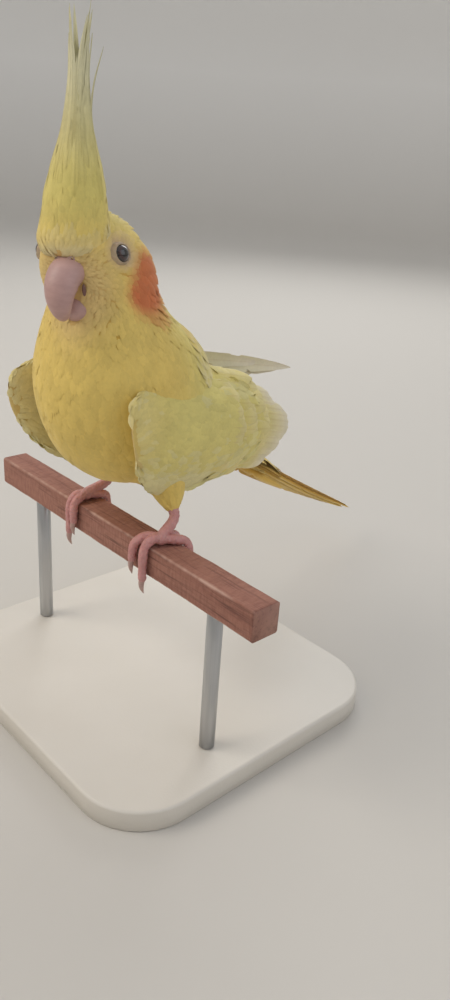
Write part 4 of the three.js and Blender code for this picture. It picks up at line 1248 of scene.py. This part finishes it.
vanePiece("tailFeathers", tailFeathers(), tailPlumage, (1.34, 0.0, 0.3, 0.3), ("tail",),
          ringEvery=1.4, marksOf=flatMarks(0, 0, 0))
tailCoverts = []
for over in (1, -1):
    for count, step, width, path in (
            (2, 1.5, 5.8, [(84, 7.8, 3.2), (101, -1.9, -5.6), (121, -14.4, -15.8)]),
            (3, 2.1, 6.6, [(62, 20.5, 10), (78, 11.2, 3.2), (104, -2.7, -7.4)])):
        for i in range(-count, count + 1):
            line = [(i * step * (0.8, 1, 0.7)[k], y - (1.6 * abs(i) if k == 2 else 0),
                     (upper if over > 0 else lower) - 0.12 * k * abs(i))
                    for k, (y, upper, lower) in enumerate(path)]
            face = np.tile((i * step * 0.09 * over, 0.35 * over, 1.0 * over), (3, 1))
            tailCoverts.append({"path": np.array(line, float), "face": face, "width": width, "thick": 0.35,
                                "root": 0.8, "splits": 2.0, "blunt": 0.3, "ruffle": 0.04})
vanePiece("tailCoverts", tailCoverts, softPlumage, (1.66, 0.0, 0.2, 0.3), ringEvery=1.4,
          marksOf=markingsAt)
print("tail grown")

# bill, cere and eyes
lidForm = {
    "profile": [(2.75, 0.9), (2.66, 1.3), (2.7, 1.62), (2.82, 1.85), (3.02, 1.96), (3.22, 1.88),
                (3.4, 1.66), (3.6, 1.25), (3.8, 0.7), (4.0, 0.0), (4.1, -0.8), (3.6, -1.0), (2.9, 0.2)],
    "flat": 0.96, "crease": 0.05,
}


def makeUpperBill():
    # the hook: rings bent round a hub, keeled along the top, with a small tooth at the cutting edge
    mesh = bmesh.new()
    rings = []
    for t in np.linspace(0, 1, 52):
        angle = math.radians(between(billForm["from"], billForm["to"], t))
        out = np.array((0, -math.cos(angle), math.sin(angle)))
        centre = np.array((0, *billForm["hub"])) + out * billForm["bend"] * between(1, 1.06, t)
        narrowing = math.sqrt(1 - 0.97 * t ** 1.7)
        wide, deep = (between(billForm["tip"], billForm[key], narrowing) for key in ("wide", "deep"))
        tooth = billForm["tooth"] * math.exp(-((t - billForm["toothAt"]) / 0.05) ** 2)
        turns = turnsOf(40)[:, None]
        rise = np.sin(turns)
        keel = billForm["keel"] * np.maximum(0, rise) ** 6
        edge = tooth * np.maximum(0, 1 - np.abs(rise + 0.45) / 0.3) / deep
        ring = centre + np.cos(turns) * (wide, 0, 0) + out * deep * (rise + keel - edge)
        rings.append(moved(ring, headPlace))
    loft(mesh, rings)
    return mesh


def facing(spot, looks):
    # a place on the head whose z points outwards
    return headPlace @ Matrix.Translation(spot) @ looks.to_track_quat("Z", "Y").to_matrix().to_4x4()


newPiece("upperBill", makeUpperBill(), billHorn, ("bill_upper",))
lower = bmesh.new()
ball(lower, billForm["lower"], 1, billForm["lowerSize"], headPlace, 5)
newPiece("lowerBill", lower, billHorn, ("bill_lower",))
cere, nostrils, gape = (bmesh.new() for _ in range(3))
for side, centre in bothSides(cereForm["centre"]):
    spot = Vector((side * cereForm["nostril"][0], *cereForm["nostril"][1:]))
    looks = (spot - centre).normalized()
    spot -= looks * cereForm["sunk"]
    face = facing(spot, looks)
    loft(cere, [moved(ovalRing(28, (0, 0, h), (r, 0, 0), (0, r, 0)), face) for r, h in cereForm["rim"]])
    ball(nostrils, spot - looks * cereForm["pitDeep"], cereForm["pit"], place=headPlace)
# dark balls at the mouth's corners: gape skin with painted shade
for side, centre in bothSides(gapeForm["centre"]):
    ball(gape, centre, 1, gapeForm["reach"], headPlace)
newPiece("gapeCornersPaintedShade", gape, gapeSkinPaintedShade)
newPiece("cereRims", cere, cereSkin)
newPiece("nostrilHollows", nostrils, nostrilShade)

for side, centre in bothSides(eyeForm["centre"]):
    name = "left" if side > 0 else "right"
    looks = Vector((side * eyeForm["looks"][0], *eyeForm["looks"][1:])).normalized()
    face = facing(centre, looks)
    eye, lid = bmesh.new(), bmesh.new()
    bmesh.ops.create_uvsphere(eye, u_segments=48, v_segments=36, radius=eyeForm["radius"], matrix=face)
    axis = (headPlace.to_3x3() @ looks).normalized()
    iris = [(v.co - headPlace @ centre).angle(axis) / 1.3 for v in eye.verts]
    globe = newPiece(name + "Eye", eye, wetEye, (f"eye_{name}",))
    globe.data.attributes.new("iris", "FLOAT", "POINT").data.foreach_set("value", iris)
    loops = []
    for r, h in lidForm["profile"]:
        turns = turnsOf(64)
        crease = lidForm["crease"] * np.sin(9 * turns + 4 * r)
        across, upwards = (r + crease) * np.cos(turns), (r + crease) * lidForm["flat"] * np.sin(turns)
        loops.append(moved(np.stack([across, upwards, h + crease], 1), face))
    loft(lid, loops, closed=True)
    newPiece(name + "Lid", lid, lidSkin)
print("bill and eyes made")

# feet
footForm = {
    "left": {"x": 27.4, "side": 1}, "right": {"x": -22, "side": -1},
    "toe": 1.75, "taper": (1.12, 0.86), "gap": 0.3, "wood": 12, "pad": 2.5, "shank": [2.1, 2, 2.3],
    "scute": 1.15, "crease": 1.7,  # lengths of a scale on top of a toe and of a fold below it
    "claw": 6.5, "clawGirths": [1.15, 1.127, 0.989, 0.759, 0.483, 0.161], "hook": (0.42, 0.12),
}
perchTurn = Matrix.Rotation(math.radians(-stance["turn"]), 4, "Z")


def toePaths(x, side):
    rest = footForm["toe"] + footForm["gap"]
    front, back = -footForm["wood"] / 2 - rest, footForm["wood"] / 2 + rest
    pad = (x, -1, rest + 0.6)
    return {
        "outer": [pad, (x - 0.6, -4.6, rest + 0.9), (x - 1.2, front + 0.7, 0.6), (x - 1.6, front, -6),
                  (x - 1.6, front, -12.6)],
        "inner": [pad, (x - side * 2.5 - 1.6, -4, rest + 0.6), (x - side * 4 - 2.8, front + 0.8, 0.4),
                  (x - side * 4.6 - 3.2, front, -3.4), (x - side * 4.8 - 3.4, front, -7)],
        "outerBack": [pad, (x + side * 2.5, 2.6, rest + 0.2), (x + side * 4.6, back - 0.9, 0.9),
                      (x + side * 5.6, back, -4), (x + side * 5.8, back, -9)],
        "innerBack": [pad, (x - side * 1.1, 2.6, rest + 0.2), (x - side * 1.8, back - 0.9, 0.9),
                      (x - side * 2.2, back, -3.4)],
    }


def scaledTube(mesh, centres, radii, outward, knuckles=3):
    # a toe: scutes step along its top, creases cross its pads below, and it thickens at the knuckles
    length = sum(np.linalg.norm(np.subtract(b, a)) for a, b in zip(centres, centres[1:]))
    steps = max(10, int(length / 0.28))
    rings = []
    for t in np.linspace(0, 1, steps + 1):
        along = curveTangent(centres, t)
        up = np.asarray(outward(t), float)
        up = unit(up - along * (up @ along))
        across = np.cross(along, up)
        radius = float(curvePoint([(r, 0, 0) for r in radii], t)[0])
        radius *= 1 + 0.05 * math.cos(2 * math.pi * t * knuckles)
        saw = (t * length / footForm["scute"]) % 1
        step = 0.13 * (saw ** 0.6 - 0.5) * (1 if 0.05 < t < 0.95 else 0)
        crease = 0.1 * math.cos(2 * math.pi * t * length / footForm["crease"])
        turns = turnsOf(30)[:, None]
        upShare = smooth(np.sin(turns), -0.1, 0.5)
        r = radius + step * upShare + crease * (1 - upShare) * 0.8
        rings.append(curvePoint(centres, t) + across * np.cos(turns) * r + up * np.sin(turns) * r)
    loft(mesh, rings)


for name in ("left", "right"):
    paths = toePaths(footForm[name]["x"], footForm[name]["side"])
    knee, heel = (np.array(place, float) for place in thighForm[name][1:])
    foot, claws = bmesh.new(), bmesh.new()
    pad = moved(paths["outer"][0], perchTurn)
    front = turned((0, -1, 0.3), perchTurn)
    ankle = heel + unit(knee - heel) * 4.5
    scaledTube(foot, [ankle, heel, pad], footForm["shank"], lambda t: front, knuckles=1)
    ball(foot, pad, footForm["pad"], fine=4)
    for kind, path in paths.items():
        centres = moved(path, perchTurn)
        radii = [footForm["toe"] * between(*footForm["taper"], t) for t in np.linspace(0, 1, len(centres))]
        away = turned((0, 1 if kind.endswith("Back") else -1, 0), perchTurn)
        scaledTube(foot, centres, radii,
                   lambda t: between(np.array((0, 0, 1)), away, float(smooth(t, 0.25, 0.7))))
        ball(foot, centres[-1], radii[-1], fine=4)
        hook = footForm["hook"][0 if path[-1][2] < -footForm["wood"] + 3 else 1]  # more on long toes
        points = [centres[-1] + np.array((0, 0, -footForm["claw"] * t))
                  + away * (0.5 * math.sin(math.pi * t) - hook * 2 * t * t) for t in np.linspace(0.1, 1, 6)]
        loft(claws, tubeRings(points, footForm["clawGirths"], 20, 24))
    newPiece(name + "Foot", foot, footSkin, (f"foot_{name}",))
    newPiece(name + "Claws", claws, clawHorn, tuple(f"claw_{name}_{kind}" for kind in paths))
print("feet made")

# perch and stand
perchForm = {
    "long": 164, "side": 12, "top": stance["perchTop"], "back": -stance["back"], "corner": 1.1, "ring": 1.4,
}
standForm = {"width": 150, "depth": 136, "thick": 9, "corner": 26, "edge": 1.2, "rod": 3, "spacing": 116}


def makePerch():
    # a sawn bar whose long corners are rubbed round and a little uneven
    mesh = bmesh.new()
    half = perchForm["side"] / 2
    wear = []
    rings = []
    count = int(perchForm["long"] / perchForm["ring"])
    rub = np.convolve(draw.uniform(0, 1, (4, count + 9)).ravel(), np.ones(5) / 5, "same").reshape(4, -1)
    for i in range(count + 1):
        x = between(-perchForm["long"] / 2, perchForm["long"] / 2, i / count)
        ring = []
        for k, (sy, sz) in enumerate(((1, 1), (-1, 1), (-1, -1), (1, -1))):
            corner = perchForm["corner"] * between(0.55, 1.3, rub[k, i])
            for j in range(7):
                a = math.atan2(sz, sy) + (j / 6 - 0.5) * math.pi / 2
                y = sy * (half - corner) + corner * math.cos(a)
                z = sz * (half - corner) + corner * math.sin(a)
                ring.append((x, y + perchForm["back"], z + perchForm["top"] - half))
                wear.append((1 - abs(j / 3 - 1)) * smooth(rub[k, i], 0.25, 0.75))
        rings.append(ring)
    loft(mesh, rings)
    return mesh, wear


def boardRing(inset, height):
    # the base's outline with its round corners
    ring = []
    for sx, sy, start in ((1, 1, 0), (-1, 1, 90), (-1, -1, 180), (1, -1, 270)):
        for a in np.radians(np.linspace(start, start + 90, 22)):
            corner = standForm["corner"] - inset
            ring.append((sx * (standForm["width"] / 2 - standForm["corner"]) + corner * math.cos(a),
                         sy * (standForm["depth"] / 2 - standForm["corner"]) + corner * math.sin(a), height))
    return ring


perchMesh, wear = makePerch()
bar = newPiece("perchBar", perchMesh, roughWood, ("perch",), partPlace)
bar.data.attributes.new("worn", "FLOAT", "POINT").data.foreach_set("value", np.array(wear, np.float32))
board = bmesh.new()
edge, thick = standForm["edge"], standForm["thick"]
profile = [(3, 0), (0.5, 0), (0, 0.5)]
profile += [(edge * (1 - math.cos(a)), thick - edge * (1 - math.sin(a)))
            for a in np.linspace(0, math.pi / 2, 7)]
loft(board, [boardRing(*step) for step in [*profile, (edge + 0.4, thick)]])
newPiece("standBoard", board, boardPaint, ("stand_base",), partPlace)
for side, name in ((1, "left"), (-1, "right")):
    rod = bmesh.new()
    x, r = side * standForm["spacing"] / 2, standForm["rod"]
    low, high = thick + 0.3, perchForm["top"] - perchForm["side"] - 0.3
    heights = [(r - 0.3, low), (r, low + 0.3), (r, high - 0.3), (r - 0.3, high)]
    loft(rod, [ovalRing(48, (x, perchForm["back"], z), (wide, 0, 0), (0, wide, 0)) for wide, z in heights])
    newPiece("standRod" + name.capitalize(), rod, rodSteel, (f"stand_rod_{name}",), partPlace)
print("stand made")

# floor, light and camera
stageForm = {"radius": 2.2, "cove": 0.6, "wall": 2.4}
floor = bmesh.new()
bends = [(stageForm["radius"] + stageForm["cove"] * math.sin(a), stageForm["cove"] * (1 - math.cos(a)))
         for a in np.linspace(0, math.pi / 2, 14)]
line = [(0, 0), (0.6, 0), *bends, (bends[-1][0], stageForm["wall"])]
profile = [floor.verts.new((r, 0, z)) for r, z in line]
edges = [floor.edges.new(pair) for pair in zip(profile, profile[1:])]
bmesh.ops.spin(floor, geom=profile + edges, axis=(0, 0, 1), cent=(0, 0, 0), steps=96, angle=2 * math.pi,
               use_merge=True)
bmesh.ops.remove_doubles(floor, verts=floor.verts, dist=1e-5)
bmesh.ops.recalc_face_normals(floor, faces=floor.faces)
floorData = bpy.data.meshes.new("studioFloor")
floor.to_mesh(floorData)
floor.free()
floorData.shade_smooth()
floorData.materials.append(studioPaper)
studioFloor = bpy.data.objects.new("studioFloor", floorData)
bpy.context.scene.collection.objects.link(studioFloor)

airForm = {"colour": "#f2f4f8", "strength": 0.6}
world = bpy.data.worlds.new("studioAir")
world.use_nodes = True
sky = world.node_tree.nodes["Background"].inputs
sky["Color"].default_value, sky["Strength"].default_value = linear(airForm["colour"]), airForm["strength"]
bpy.context.scene.world = world

cameraForm = {"place": (0.2335, -0.1856, 0.2171), "azimuth": 46.2, "down": 23.6, "roll": 4.0, "lens": 28.93}
azimuth, down, roll = (math.radians(cameraForm[key]) for key in ("azimuth", "down", "roll"))
ahead = Vector((-math.sin(azimuth) * math.cos(down), math.cos(azimuth) * math.cos(down), -math.sin(down)))
level = Vector((math.cos(azimuth), math.sin(azimuth), 0))
above = level.cross(ahead)
sideways = level * math.cos(roll) + above * math.sin(roll)
upright = above * math.cos(roll) - level * math.sin(roll)
lens = bpy.data.cameras.new("photoView")
lens.sensor_width = 36
lens.lens = cameraForm["lens"]
lens.clip_start = 0.01
camera = bpy.data.objects.new("photoView", lens)
camera.matrix_world = (Matrix.Translation(cameraForm["place"])
                       @ Matrix((sideways, upright, -ahead)).transposed().to_4x4())
bpy.context.scene.collection.objects.link(camera)
bpy.context.scene.camera = camera

lamps = {
    "key": {"at": (-0.5, -0.75, 0.9), "size": 0.7, "power": 5.6, "colour": "#fff6ea"},
    "fill": {"at": (1.0, 0.2, 0.7), "size": 1.0, "power": 2, "colour": "#eef3ff"},
    "back": {"at": (-0.7, 0.9, 0.9), "size": 0.8, "power": 5, "colour": "#ffffff"},
}
for name, lamp in lamps.items():
    light = bpy.data.lights.new(name, "AREA")
    light.size = lamp["size"]
    light.energy = lamp["power"]
    light.color = linear(lamp["colour"])[:3]
    holder = bpy.data.objects.new(name, light)
    holder.location = lamp["at"]
    aim = Vector((0, 0, 0.15)) - Vector(lamp["at"])  # the middle of the model
    holder.rotation_euler = aim.to_track_quat("-Z", "Y").to_euler()
    bpy.context.scene.collection.objects.link(holder)

bpy.context.scene.view_settings.view_transform = "Standard"
